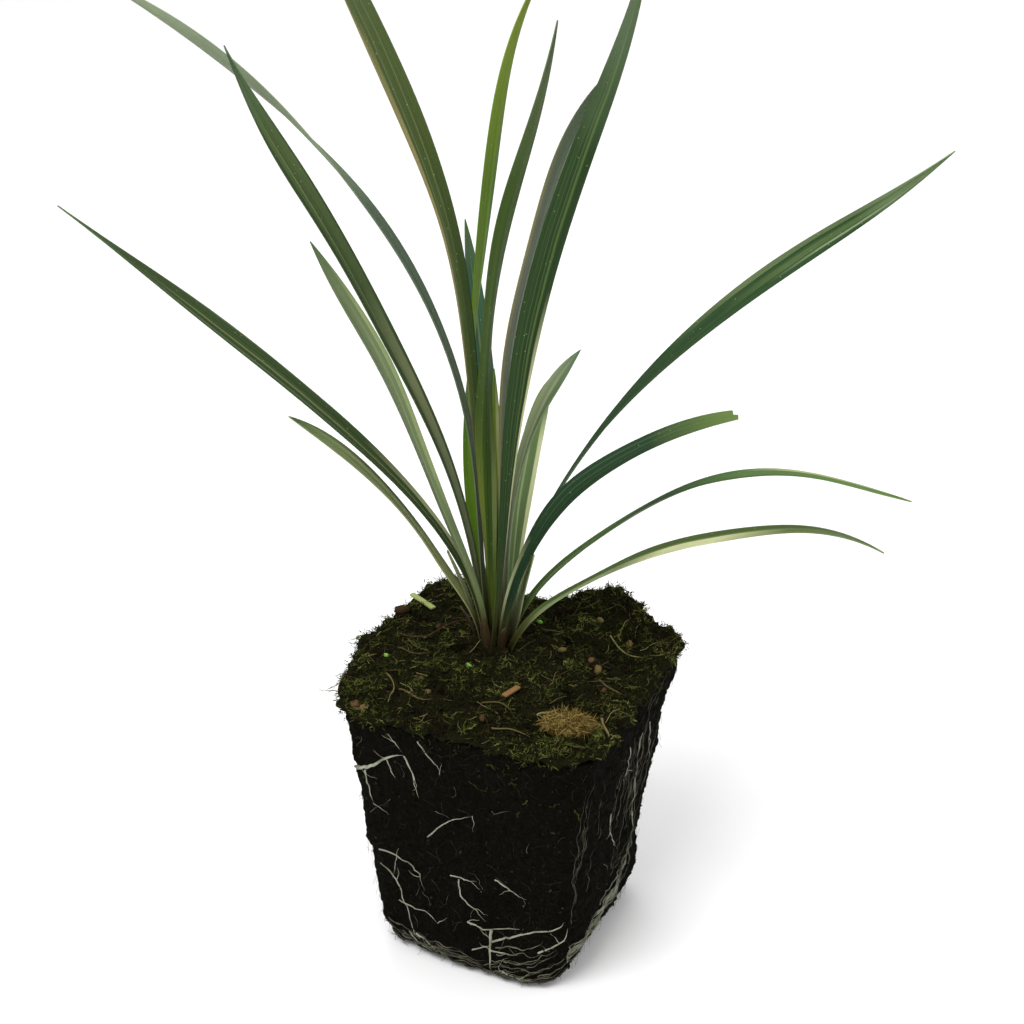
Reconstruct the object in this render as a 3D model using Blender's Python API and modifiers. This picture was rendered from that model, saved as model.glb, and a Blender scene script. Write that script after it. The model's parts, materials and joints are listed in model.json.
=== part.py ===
"""A young variegated cordyline, knocked out of its square nursery pot.

The peaty root ball keeps the taper of the pot that it grew in. A mat of moss covers its
top, white roots run over its sides, and strap leaves rise from one short stem.

Lengths are metres, +Z is up, and the origin is the middle of the flat base. The sides of
the root ball face along X and Y. Azimuths are degrees from +X towards +Y.
"""

import math
from dataclasses import dataclass

import bmesh
import bpy
from mathutils import Vector, noise
from mathutils.bvhtree import BVHTree

MM = 0.001

# Root ball, the cast of a 9 cm square pot.
BALL_TOP_SIDE = 88 * MM
BALL_BASE_SIDE = 69 * MM
BALL_HEIGHT = 92 * MM
BALL_CUTS = 10
BALL_CORNER_POWER = 9.0
BALL_EDGE_POWER = 13.0
BALL_LUMP = 1.3 * MM
BALL_LUMP_SIZE = 17 * MM
BALL_SEAT_DEPTH = 1.6 * MM
BALL_SEAT_EDGE = 0.6 * MM
BALL_SEAT_SHARE = 0.8
FOOT_BULGE = 5.4 * MM
FOOT_WEAR = 3.0 * MM
CORNER_WEAR = 5.0 * MM
CORNER_WEAR_HEIGHT = 32 * MM
CORNER_WEAR_HALF = 34 * MM

# Moss mat on the root ball.
GAP = 0.3 * MM
MOSS_SIDE = 89 * MM
MOSS_EDGE_HEIGHT = 3.6 * MM
MOSS_CROWN_HEIGHT = 10.4 * MM
MOSS_LUMP = 1.3 * MM
MOSS_LUMP_SIZE = 11 * MM
MOSS_EDGE_WOBBLE = 1.2 * MM
MOSS_CELLS = 18
MOSS_BULGE = 7 * MM
MOSS_BULGE_PLACE = -2 * MM
MOSS_BULGE_HALF = 32 * MM

# Humps of the mat: middle, half width and height.
MOSS_HUMPS = (
    (Vector((17 * MM, 44 * MM, 0.0)), 15 * MM, 13.0 * MM),
    (Vector((-42 * MM, 34 * MM, 0.0)), 17 * MM, 5.5 * MM),
    (Vector((-46 * MM, -14 * MM, 0.0)), 17 * MM, 3.0 * MM),
)

# Stem, and where it stands on the root ball.
CROWN = Vector((-7.4 * MM, 3.0 * MM, 0.0))
STEM_RADIUS = 6.9 * MM
STEM_TOP = 99.6 * MM
STEM_SEGMENTS = 24
LEAF_SEAT_HEIGHT = 100.2 * MM
WELL_BELOW = 4 * MM
WELL_ABOVE = 16 * MM
WELL_MOUTH = 10.5 * MM

# Blades.
BLADE_THICKNESS = 0.7 * MM
BLADE_BASE_SHARE = 0.30
BLADE_SWELL_POWER = 1.9
BLADE_TIP_SHARE = 0.07
BLADE_WIDEST_AT = 0.5
BLADE_FOLD = 0.13
BLADE_STEP = 13 * MM

# Roots on the sides of the ball.
ROOT_SIDES = 6
ROOT_GAP = 1.0 * MM

# Tuft of dry moss, set in the mat by the front corner.
TUFT_PLACE = Vector((31 * MM, -28 * MM, 97.2 * MM))
TUFT_HALF = Vector((8.5 * MM, 4.6 * MM, 3.4 * MM))
TUFT_TURN = math.radians(24)

# Litter that lies on the moss.
LITTER_THICKNESS = 0.4

COLLECTION = "potted_cordyline"
CUTTERS = "cutters"


@dataclass(frozen=True)
class Leaf:
    """One strap leaf. Angles are degrees and sizes millimetres.

    seat is the polar place of its foot round the crown. azimuth and lean (from upright) are
    read at even steps from foot to tip, and so is roll, the turn of the blade about its rib.
    """

    seat: tuple
    azimuth: tuple
    lean: tuple
    roll: tuple
    length: float
    width: float
    tip_share: float = BLADE_TIP_SHARE


# From the outer leaves to the inner ones, round the crown.
LEAVES = (
    Leaf((6.1, 327), (351, 356, 360), (20, 47, 54, 66, 76, 111), (76, 10, 6, -1, -18), 151, 8.1),
    Leaf((4.6, 350), (32, 40, 41), (7, 48, 64, 89, 110, 113), (30, -6, -27, -11, -7, 4), 167, 8),
    Leaf((5.4, 220), (219, 220, 222), (2, 28, 29, 36, 44, 54), (-38, -21, -10, -18, -39), 112, 8.1),
    Leaf((6.1, 305), (11, 13, 16), (2, 16, 28, 49, 61, 76), (94, 38, 31, 17, 26), 127, 8.1, 0.45),
    Leaf((4.1, 229), (205, 209, 211), (2, 29, 42, 46, 48, 48), (-54, -18, -17, -18, 11), 206, 8.1),
    Leaf((5.4, 258), (239, 239, 239), (2, 20, 20, 21, 28, 29), (13, 3, 1, 23, 54), 168, 8.1),
    Leaf((2.9, 57), (69, 71, 73), (2, 3, 8, 21, 44, 68), (-16, -31, -36, -23, 41), 107, 8.4),
    Leaf((3.6, 337), (48, 49, 52), (2, 29, 47, 60, 68, 62), (4, -32, -18, 20, 62, 97), 232, 7.5),
    Leaf((4.6, 183), (184, 187, 189), (2, 13, 25, 28, 32, 24), (-14, -1, -7, -28, -121), 213, 8.3),
    Leaf((2.6, 190), (171, 180, 185), (7, 4, 22, 42, 55, 68), (6, 13, 18, 15, 58, 88), 264, 8),
    Leaf((6.1, 279), (330, 331, 334), (10, 6, 13, 22, 25, 12), (23, 1, -36, -65, -108), 266, 7.5),
    Leaf((3.7, 286), (231, 309, 369), (4, 3, 13, 13, 19, 9), (-2, 25, 51, 0, -18), 224, 7.9),
    Leaf((1.7, 249), (231, 229, 228), (2, 5, 6, 19, 24, 22), (29, 6, 17, 73, 93), 286, 8.2),
    Leaf((2.2, 319), (360, 354, 348), (2, 1, 2, 14, 19, 41), (15, 12, 9, -2, -40), 210, 8),
    Leaf((1.4, 84), (159, 88, 19), (23, 20, 16, 10, 10, 28), (-36, -56, -76, -65, -33), 223, 8),
    Leaf((3.4, 114), (119, 122), (16, 30, 48, 60), (0, 15, 30), 150, 7.8),
    Leaf((4.7, 65), (108, 104), (34, 60, 76, 92), (0, -10, 15), 124, 7.4),
    Leaf((0.8, 44), (120, 126), (2, 4, 6, 9), (0, 30, 40), 96, 4.6),
)


@dataclass(frozen=True)
class Root:
    """One white root on a side of the ball: along gives (distance along the side, height)."""

    side: str
    radius: float
    along: tuple


# Distances along a side run from its left corner to its right one, seen from outside.
ROOTS = (
    Root("front", 0.9, ((-37, 71), (-30, 76), (-24, 80), (-19, 82))),
    Root("front", 0.5, ((-18, 80), (-17, 74), (-15, 65))),
    Root("front", 0.5, ((-34, 71), (-32, 59))),
    Root("front", 0.4, ((-14, 88), (-12, 84), (-8, 81), (-7, 78))),
    Root("front", 0.5, ((-13, 51), (-8, 57), (-3, 61), (3, 64))),
    Root("front", 0.4, ((-6, 37), (-1, 37), (4, 38))),
    Root("front", 0.4, ((10, 40), (16, 37), (21, 35))),
    Root("front", 0.5, ((-31, 41), (-26, 40), (-20, 37), (-17, 33), (-16, 27))),
    Root("front", 0.5, ((-31, 34), (-26, 29), (-23, 21), (-20, 12))),
    Root("front", 0.6, ((-3, 35), (-2, 30), (2, 26), (6, 22), (8, 14), (8, 8))),
    Root("front", 0.6, ((11, 15), (21, 21), (27, 24), (32, 28))),
    Root("right", 0.6, ((-26, 15), (-14, 14), (-2, 15), (12, 17), (24, 22))),
    Root("right", 0.5, ((5, 78), (7, 63), (8, 46), (8, 34))),
    Root("right", 0.4, ((-15, 61), (-15, 55), (-10, 45), (-2, 37))),
    Root("left", 1.0, ((-27, 84), (-31, 74), (-30, 60), (-28, 44), (-25, 30), (-20, 18))),
    Root("left", 0.6, ((-25, 58), (-18, 50), (-12, 38))),
    Root("left", 0.5, ((-24, 12), (-8, 9), (8, 12))),
    Root("back", 0.6, ((-28, 14), (-12, 10), (6, 12), (22, 20))),
    Root("back", 0.5, ((6, 66), (2, 52), (6, 40), (0, 28))),
)
SIDE_TURN = {"front": 0.0, "right": 90.0, "back": 180.0, "left": 270.0}


def clear_scene():
    """Remove whatever the scene holds."""
    for thing in list(bpy.data.objects):
        bpy.data.objects.remove(thing, do_unlink=True)


def new_collection(name):
    """A collection linked to the scene."""
    made = bpy.data.collections.new(name)
    bpy.context.scene.collection.children.link(made)
    return made


def material(name, colour, roughness):
    """A Principled material of one colour."""
    made = bpy.data.materials.new(name)
    made.use_nodes = True
    shader = made.node_tree.nodes["Principled BSDF"]
    shader.inputs["Base Color"].default_value = (*colour, 1.0)
    shader.inputs["Roughness"].default_value = roughness
    shader.inputs["Metallic"].default_value = 0.0
    made.diffuse_color = (*colour, 1.0)
    return made


def add_mesh(name, bm, collection, finish=None):
    """Turn a bmesh into a named object in a collection."""
    mesh = bpy.data.meshes.new(name)
    bmesh.ops.recalc_face_normals(bm, faces=bm.faces)
    bm.to_mesh(mesh)
    bm.free()
    mesh.shade_smooth()
    thing = bpy.data.objects.new(name, mesh)
    if finish:
        mesh.materials.append(finish)
    collection.objects.link(thing)
    return thing


def make_cutter(thing):
    """Hide a helper from the render."""
    thing.hide_render = True
    thing.display_type = "WIRE"


def cut(thing, cutter, name):
    """Take one closed mesh out of another."""
    difference = thing.modifiers.new(name, "BOOLEAN")
    difference.operation = "DIFFERENCE"
    difference.object = cutter


def course(values, share):
    """A smooth curve through evenly spaced values, read at a share of its length."""
    last = len(values) - 1
    place = min(max(share, 0.0), 1.0) * last
    index = min(int(place), last - 1)
    along = place - index
    before = values[index - 1] if index > 0 else 2 * values[0] - values[1]
    after = values[index + 2] if index < last - 1 else 2 * values[last] - values[last - 1]
    start, end = values[index], values[index + 1]
    slope = (end - before) * along
    bend = (2 * before - 5 * start + 4 * end - after) * along**2
    turn = (3 * start - before - 3 * end + after) * along**3
    return 0.5 * (2 * start + slope + bend + turn)


def lumps(point, size):
    """Smooth noise between about -1 and 1, with lumps of the given size."""
    return noise.noise(point / size) + 0.5 * noise.noise(point / (0.45 * size))


def rounded_square(x, y, power):
    """Bring a point of the square from -1 to 1 onto squares with rounded corners."""
    reach = max(abs(x), abs(y))
    if reach == 0.0:
        return x, y
    shrink = reach / (abs(x) ** power + abs(y) ** power) ** (1.0 / power)
    return x * shrink, y * shrink


def near(value, middle, half):
    """A smooth bump: 1 at the middle and near 0 well beyond the half width."""
    return math.exp(-(((value - middle) / half) ** 2))


def foot_push(place):
    """The foot bulges a little at the front, and is worn away on the right and its back corner."""
    forwards = FOOT_BULGE * near(place.z, 3 * MM, 13 * MM) * near(place.x, 9 * MM, 28 * MM)
    inwards = FOOT_WEAR * near(place.z, 0.0, 16 * MM) * near(place.y, 0.0, 30 * MM)
    push = Vector((-inwards if place.x > 0 else 0.0, -forwards if place.y < 0 else 0.0, 0.0))
    if place.x > 0 and place.y > 0:
        corner = place.x * place.y / (0.25 * BALL_BASE_SIDE * BALL_TOP_SIDE)
        wear = CORNER_WEAR * min(corner, 1.0)
        wear *= near(place.z, CORNER_WEAR_HEIGHT, CORNER_WEAR_HALF)
        push -= Vector((1.0, 1.0, 0.0)).normalized() * wear
    return push


def build_root_ball(collection, finish):
    """A tapered block of roots and peat, lumpy on its sides, flat above and below."""
    bm = bmesh.new()
    bmesh.ops.create_cube(bm, size=2.0)
    bmesh.ops.subdivide_edges(bm, edges=bm.edges, cuts=BALL_CUTS, use_grid_fill=True)
    for vert in bm.verts:
        x, y, z = vert.co
        reach = max(abs(x), abs(y))
        low, shrunk = rounded_square(min(z, 0.0), reach, BALL_EDGE_POWER)
        x, y = rounded_square(x, y, BALL_CORNER_POWER)
        if reach > 0.0:
            x, y = x * shrunk / reach, y * shrunk / reach
        z = max(z, 0.0) + low
        height = 0.5 * (z + 1.0)
        half = 0.5 * (BALL_BASE_SIDE + (BALL_TOP_SIDE - BALL_BASE_SIDE) * height)
        place = Vector((x * half, y * half, height * BALL_HEIGHT))
        if reach > 0.99:
            outwards = Vector((x, y, 0.0)).normalized()
            place += outwards * BALL_LUMP * lumps(place, BALL_LUMP_SIZE)
            place += foot_push(place)
        if reach > BALL_SEAT_SHARE and z < -0.9:
            place.z += BALL_SEAT_DEPTH * max(0.0, lumps(place, BALL_LUMP_SIZE))
        if place.z < BALL_SEAT_EDGE or z < -0.97 and reach < BALL_SEAT_SHARE:
            place.z = 0.0
        if z > 0.99:
            place.z = BALL_HEIGHT
        vert.co = place
    return add_mesh("root_ball", bm, collection, finish)


def moss_height(x, y):
    """Height of the mat's top above its foot, for a point of the square from -1 to 1."""
    crown_x = 2 * CROWN.x / MOSS_SIDE
    crown_y = 2 * CROWN.y / MOSS_SIDE
    away = min(math.hypot(x - crown_x, y - crown_y), 1.0)
    dome = MOSS_EDGE_HEIGHT + (MOSS_CROWN_HEIGHT - MOSS_EDGE_HEIGHT) * (1.0 - away**1.6)
    place = Vector((x * MOSS_SIDE / 2, y * MOSS_SIDE / 2, 0.0))
    rim = max(abs(x), abs(y)) ** 8
    for middle, half, height in MOSS_HUMPS:
        dome += height * near((place - middle).length, 0.0, half)
    return dome + MOSS_LUMP * lumps(place, MOSS_LUMP_SIZE) * (1.0 - 0.5 * rim) - 0.9 * MM * rim


def left_bulge(x, y):
    """How far the mat's left part reaches out over the ball, for x from -1 to 1."""
    if x >= 0.0:
        return 0.0
    return MOSS_BULGE * x**4 * near(y, MOSS_BULGE_PLACE, MOSS_BULGE_HALF)


def build_moss_mat(collection, finish, cutters):
    """A domed mat with an uneven edge, which hangs a little over the ball's rim."""
    foot = BALL_HEIGHT + GAP
    bm = bmesh.new()
    bmesh.ops.create_grid(bm, x_segments=MOSS_CELLS, y_segments=MOSS_CELLS, size=1.0)
    base = bm.faces[:]
    made = bmesh.ops.extrude_face_region(bm, geom=base)
    top = {item for item in made["geom"] if isinstance(item, bmesh.types.BMVert)}
    bmesh.ops.reverse_faces(bm, faces=base)
    for vert in bm.verts:
        x, y = vert.co.x, vert.co.y
        height = moss_height(x, y) if vert in top else 0.0
        reach = max(abs(x), abs(y))
        x, y = rounded_square(x, y, BALL_CORNER_POWER)
        place = Vector((x, y, 0.0)) * MOSS_SIDE / 2
        if reach > 0.99:
            place += place.normalized() * MOSS_EDGE_WOBBLE * lumps(place, MOSS_LUMP_SIZE)
        place.x -= left_bulge(x, place.y)
        vert.co = (place.x, place.y, foot + height)
    mat = add_mesh("moss_mat", bm, collection, finish)
    well = build_well(foot, cutters)
    cut(mat, well, "well for the stem")
    return mat


def build_well(foot, cutters):
    """A flared upright hole round the stem and the feet of the leaves."""
    low, high = foot - WELL_BELOW, foot + WELL_ABOVE
    bm = bmesh.new()
    bmesh.ops.create_cone(
        bm,
        cap_ends=True,
        segments=STEM_SEGMENTS,
        radius1=STEM_RADIUS + GAP,
        radius2=WELL_MOUTH,
        depth=high - low,
    )
    bmesh.ops.translate(bm, verts=bm.verts, vec=(CROWN.x, CROWN.y, (low + high) / 2))
    thing = add_mesh("stem_well", bm, cutters)
    make_cutter(thing)
    return thing


def build_stem(collection, finish):
    """The short stem: a turned stub with a low dome, which the leaves stand on."""
    foot = BALL_HEIGHT + GAP
    profile = (
        (0.0, STEM_TOP),
        (0.55 * STEM_RADIUS, STEM_TOP - 0.1 * MM),
        (0.9 * STEM_RADIUS, STEM_TOP - 0.8 * MM),
        (STEM_RADIUS, STEM_TOP - 2.2 * MM),
        (0.93 * STEM_RADIUS, foot + 2 * MM),
        (0.85 * STEM_RADIUS, foot),
        (0.0, foot),
    )
    bm = bmesh.new()
    verts = [bm.verts.new((radius, 0.0, height)) for radius, height in profile]
    for upper, lower in zip(verts, verts[1:]):
        bm.edges.new((upper, lower))
    mesh = bpy.data.meshes.new("stem")
    bm.to_mesh(mesh)
    bm.free()
    mesh.materials.append(finish)
    stem = bpy.data.objects.new("stem", mesh)
    stem.location = CROWN
    collection.objects.link(stem)
    turn = stem.modifiers.new("turn", "SCREW")
    turn.steps = STEM_SEGMENTS
    turn.render_steps = STEM_SEGMENTS
    turn.use_merge_vertices = True
    turn.merge_threshold = 0.00005
    turn.use_normal_calculate = True
    return stem


def blade_width(leaf, share):
    """Full width of the blade at a share of its length, in millimetres."""
    if share < BLADE_WIDEST_AT:
        swell = math.sin(0.5 * math.pi * share / BLADE_WIDEST_AT) ** BLADE_SWELL_POWER
        return leaf.width * (BLADE_BASE_SHARE + (1.0 - BLADE_BASE_SHARE) * swell)
    past = (share - BLADE_WIDEST_AT) / (1.0 - BLADE_WIDEST_AT)
    return leaf.width * (leaf.tip_share + (1.0 - leaf.tip_share) * (1.0 - past**3))


def leaf_rib(leaf, rows):
    """Points down the middle of a leaf, from its foot to its tip."""
    radius, angle = leaf.seat
    angle = math.radians(angle)
    seat = Vector((radius * math.cos(angle), radius * math.sin(angle), 0.0)) * MM
    points = [CROWN + seat + Vector((0.0, 0.0, LEAF_SEAT_HEIGHT))]
    for row in range(rows):
        share = (row + 0.5) / rows
        lean = math.radians(course(leaf.lean, share))
        azimuth = math.radians(course(leaf.azimuth, share))
        out = math.sin(lean)
        step = Vector((out * math.cos(azimuth), out * math.sin(azimuth), math.cos(lean)))
        points.append(points[-1] + step * leaf.length * MM / rows)
    return points


def build_leaf(number, leaf, collection, finish):
    """A folded strap: a narrow sheet laid along the rib, then given its thickness."""
    rows = max(8, round(leaf.length * MM / BLADE_STEP))
    rib = leaf_rib(leaf, rows)
    bm = bmesh.new()
    bmesh.ops.create_grid(bm, x_segments=rows, y_segments=2, size=1.0)
    for vert in bm.verts:
        row = round(0.5 * (vert.co.x + 1.0) * rows)
        across = vert.co.y
        share = row / rows
        ahead = rib[min(row + 1, rows)] - rib[max(row - 1, 0)]
        side = Vector((0.0, 0.0, 1.0)).cross(ahead).normalized()
        face = ahead.normalized().cross(side)
        roll = math.radians(course(leaf.roll, share))
        half = 0.5 * blade_width(leaf, share) * MM
        outwards = side * math.cos(roll) + face * math.sin(roll)
        upwards = face * math.cos(roll) - side * math.sin(roll)
        lift = BLADE_FOLD * 2 * half * (abs(across) - 0.5)
        vert.co = rib[row] + outwards * half * across + upwards * lift
    leaf_object = add_mesh(f"leaf_{number:02d}", bm, collection, finish)
    shell = leaf_object.modifiers.new("thickness", "SOLIDIFY")
    shell.thickness = BLADE_THICKNESS
    shell.offset = 0.0
    return leaf_object


def surface_of(thing):
    """The evaluated faces of an object, for finding points on it."""
    graph = bpy.context.evaluated_depsgraph_get()
    return BVHTree.FromObject(thing, graph)


def on_side(surface, side, along, height, lift):
    """The point at a distance along a side of the ball and a height, lifted off its skin."""
    turn = math.radians(SIDE_TURN[side])
    outwards = Vector((math.sin(turn), -math.cos(turn), 0.0))
    sideways = Vector((math.cos(turn), math.sin(turn), 0.0))
    start = sideways * along * MM + outwards * BALL_TOP_SIDE + Vector((0.0, 0.0, height * MM))
    hit, normal, _, _ = surface.ray_cast(start, -outwards)
    return hit + normal * lift


def build_root(number, root, surface, collection, finish):
    """A thin round root that follows the side of the ball just off its skin."""
    lift = root.radius * MM + ROOT_GAP
    last = len(root.along) - 1
    steps = 4 * last
    points = []
    for step in range(steps + 1):
        along = course([place[0] for place in root.along], step / steps)
        height = course([place[1] for place in root.along], step / steps)
        points.append(on_side(surface, root.side, along, height, lift))
    curve = bpy.data.curves.new(f"root_{number:02d}", "CURVE")
    curve.dimensions = "3D"
    curve.bevel_depth = root.radius * MM
    curve.bevel_resolution = ROOT_SIDES // 4
    curve.use_fill_caps = True
    line = curve.splines.new("POLY")
    line.points.add(len(points) - 1)
    for index, (target, point) in enumerate(zip(line.points, points)):
        target.co = (*point, 1.0)
        target.radius = 1.0 - 0.5 * index / steps
    curve.materials.append(finish)
    thing = bpy.data.objects.new(f"root_{number:02d}", curve)
    collection.objects.link(thing)
    return thing


def build_dry_tuft(collection, finish, mat, cutters):
    """A low tuft of dead moss in a hollow of the mat."""
    def pad(name, target, grow, paint=None):
        bm = bmesh.new()
        bmesh.ops.create_uvsphere(bm, u_segments=14, v_segments=8, radius=1.0)
        for vert in bm.verts:
            rough = 1.0 + 0.12 * noise.noise(vert.co * 2.3)
            vert.co = Vector([c * (half + grow) * rough for c, half in zip(vert.co, TUFT_HALF)])
        thing = add_mesh(name, bm, target, paint)
        thing.location = TUFT_PLACE
        thing.rotation_euler = (math.radians(6), math.radians(4), TUFT_TURN)
        return thing

    tuft = pad("dry_tuft", collection, 0.0, finish)
    hollow = pad("tuft_hollow", cutters, 1.5 * GAP)
    make_cutter(hollow)
    cut(mat, hollow, "hollow for the tuft")
    return tuft


def build_litter(name, start, end, width, surface, collection, finish):
    """A short piece lying on the moss: a chip of bark or the stub of a cut leaf."""
    start, end = Vector((*start, 0.0)) * MM, Vector((*end, 0.0)) * MM
    tops = []
    for share in (0.0, 0.25, 0.5, 0.75, 1.0):
        above = start.lerp(end, share) + Vector((0.0, 0.0, 2 * BALL_HEIGHT))
        hit, _, _, _ = surface.ray_cast(above, Vector((0.0, 0.0, -1.0)))
        if hit:
            tops.append(hit.z)
    along = end - start
    thickness = LITTER_THICKNESS * width * MM
    bm = bmesh.new()
    bmesh.ops.create_cube(bm, size=1.0)
    bmesh.ops.scale(bm, verts=bm.verts, vec=(along.length, width * MM, thickness))
    bmesh.ops.bevel(bm, geom=bm.edges[:], offset=0.2 * thickness, segments=1, affect="EDGES")
    thing = add_mesh(name, bm, collection, finish)
    middle = (start + end) / 2
    thing.location = (middle.x, middle.y, max(tops) + thickness / 2 + 2 * GAP)
    thing.rotation_euler = (0.0, 0.0, math.atan2(along.y, along.x))
    return thing


def main():
    clear_scene()
    parts = new_collection(COLLECTION)
    cutters = new_collection(CUTTERS)
    peat = material("peat and roots", (0.018, 0.014, 0.010), 0.95)
    moss = material("moss", (0.065, 0.075, 0.025), 0.95)
    dry_moss = material("dry moss", (0.30, 0.20, 0.07), 0.9)
    leaf_skin = material("leaf", (0.085, 0.135, 0.055), 0.45)
    stem_skin = material("stem", (0.12, 0.085, 0.055), 0.6)
    white_root = material("white root", (0.42, 0.43, 0.36), 0.7)
    bark = material("bark", (0.22, 0.10, 0.045), 0.85)
    cut_leaf = material("cut leaf", (0.45, 0.48, 0.20), 0.5)

    ball = build_root_ball(parts, peat)
    mat = build_moss_mat(parts, moss, cutters)
    build_dry_tuft(parts, dry_moss, mat, cutters)
    build_stem(parts, stem_skin)
    bpy.context.view_layer.update()
    top = surface_of(mat)
    build_litter("cut_leaf_stub", (-48, 23), (-37, 17), 2.0, top, parts, cut_leaf)
    build_litter("bark_chip", (7.5, -25), (9.5, -18), 2.0, top, parts, bark)
    sides = surface_of(ball)
    for number, root in enumerate(ROOTS, 1):
        build_root(number, root, sides, parts, white_root)
    for number, leaf in enumerate(LEAVES, 1):
        build_leaf(number, leaf, parts, leaf_skin)


if __name__ == "__main__":
    main()
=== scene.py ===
"""Looks of a young variegated cordyline, knocked out of its square nursery pot.

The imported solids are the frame. Round them this script models the strap leaves with their
stripes, the mossy top, the peat of the root ball and the white roots that run over it.
Lengths are metres, +Z is up and the origin is the middle of the root ball's base.
"""

from __future__ import annotations

import json
import logging
import math
from dataclasses import dataclass, field
from enum import Enum
from typing import Any, Callable, Sequence

import bmesh
import bpy
import numpy as np
from mathutils import Matrix, Vector, noise
from mathutils.bvhtree import BVHTree

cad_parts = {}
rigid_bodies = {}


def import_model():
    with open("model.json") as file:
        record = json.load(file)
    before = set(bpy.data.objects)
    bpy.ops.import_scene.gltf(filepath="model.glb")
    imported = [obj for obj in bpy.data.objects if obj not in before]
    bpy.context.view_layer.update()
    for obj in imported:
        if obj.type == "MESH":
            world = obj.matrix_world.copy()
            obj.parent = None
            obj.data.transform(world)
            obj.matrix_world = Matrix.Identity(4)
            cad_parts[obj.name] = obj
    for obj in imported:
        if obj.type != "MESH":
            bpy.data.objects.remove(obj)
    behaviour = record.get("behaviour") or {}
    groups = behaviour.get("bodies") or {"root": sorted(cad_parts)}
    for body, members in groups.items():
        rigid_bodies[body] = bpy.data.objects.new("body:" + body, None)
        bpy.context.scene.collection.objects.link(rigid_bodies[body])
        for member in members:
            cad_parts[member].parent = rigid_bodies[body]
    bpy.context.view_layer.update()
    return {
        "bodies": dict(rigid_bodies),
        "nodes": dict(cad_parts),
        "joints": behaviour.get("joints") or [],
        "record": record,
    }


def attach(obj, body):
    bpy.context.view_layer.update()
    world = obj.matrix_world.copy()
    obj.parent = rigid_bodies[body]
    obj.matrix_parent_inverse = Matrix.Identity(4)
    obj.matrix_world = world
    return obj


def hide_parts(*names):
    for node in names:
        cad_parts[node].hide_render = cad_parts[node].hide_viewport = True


MM = 0.001
BODY = "root"
LOG = logging.getLogger("cordyline")

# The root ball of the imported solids: half its width at the floor in millimetres, and how much
# that grows with each millimetre of height.
BALL_HALF = 34.5
BALL_TAPER = 0.103
# Corners of a solid's loose triangles that are nearer than this are one.
NEAR = 0.01 * MM
CROWN_X = -7.4 * MM
CROWN_Y = 3.0 * MM

Colour = tuple[float, float, float]


class Side(Enum):
    """The four sides of the root ball, by the turn of their outward direction."""

    FRONT = 0
    RIGHT = 90
    BACK = 180
    LEFT = 270


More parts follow.
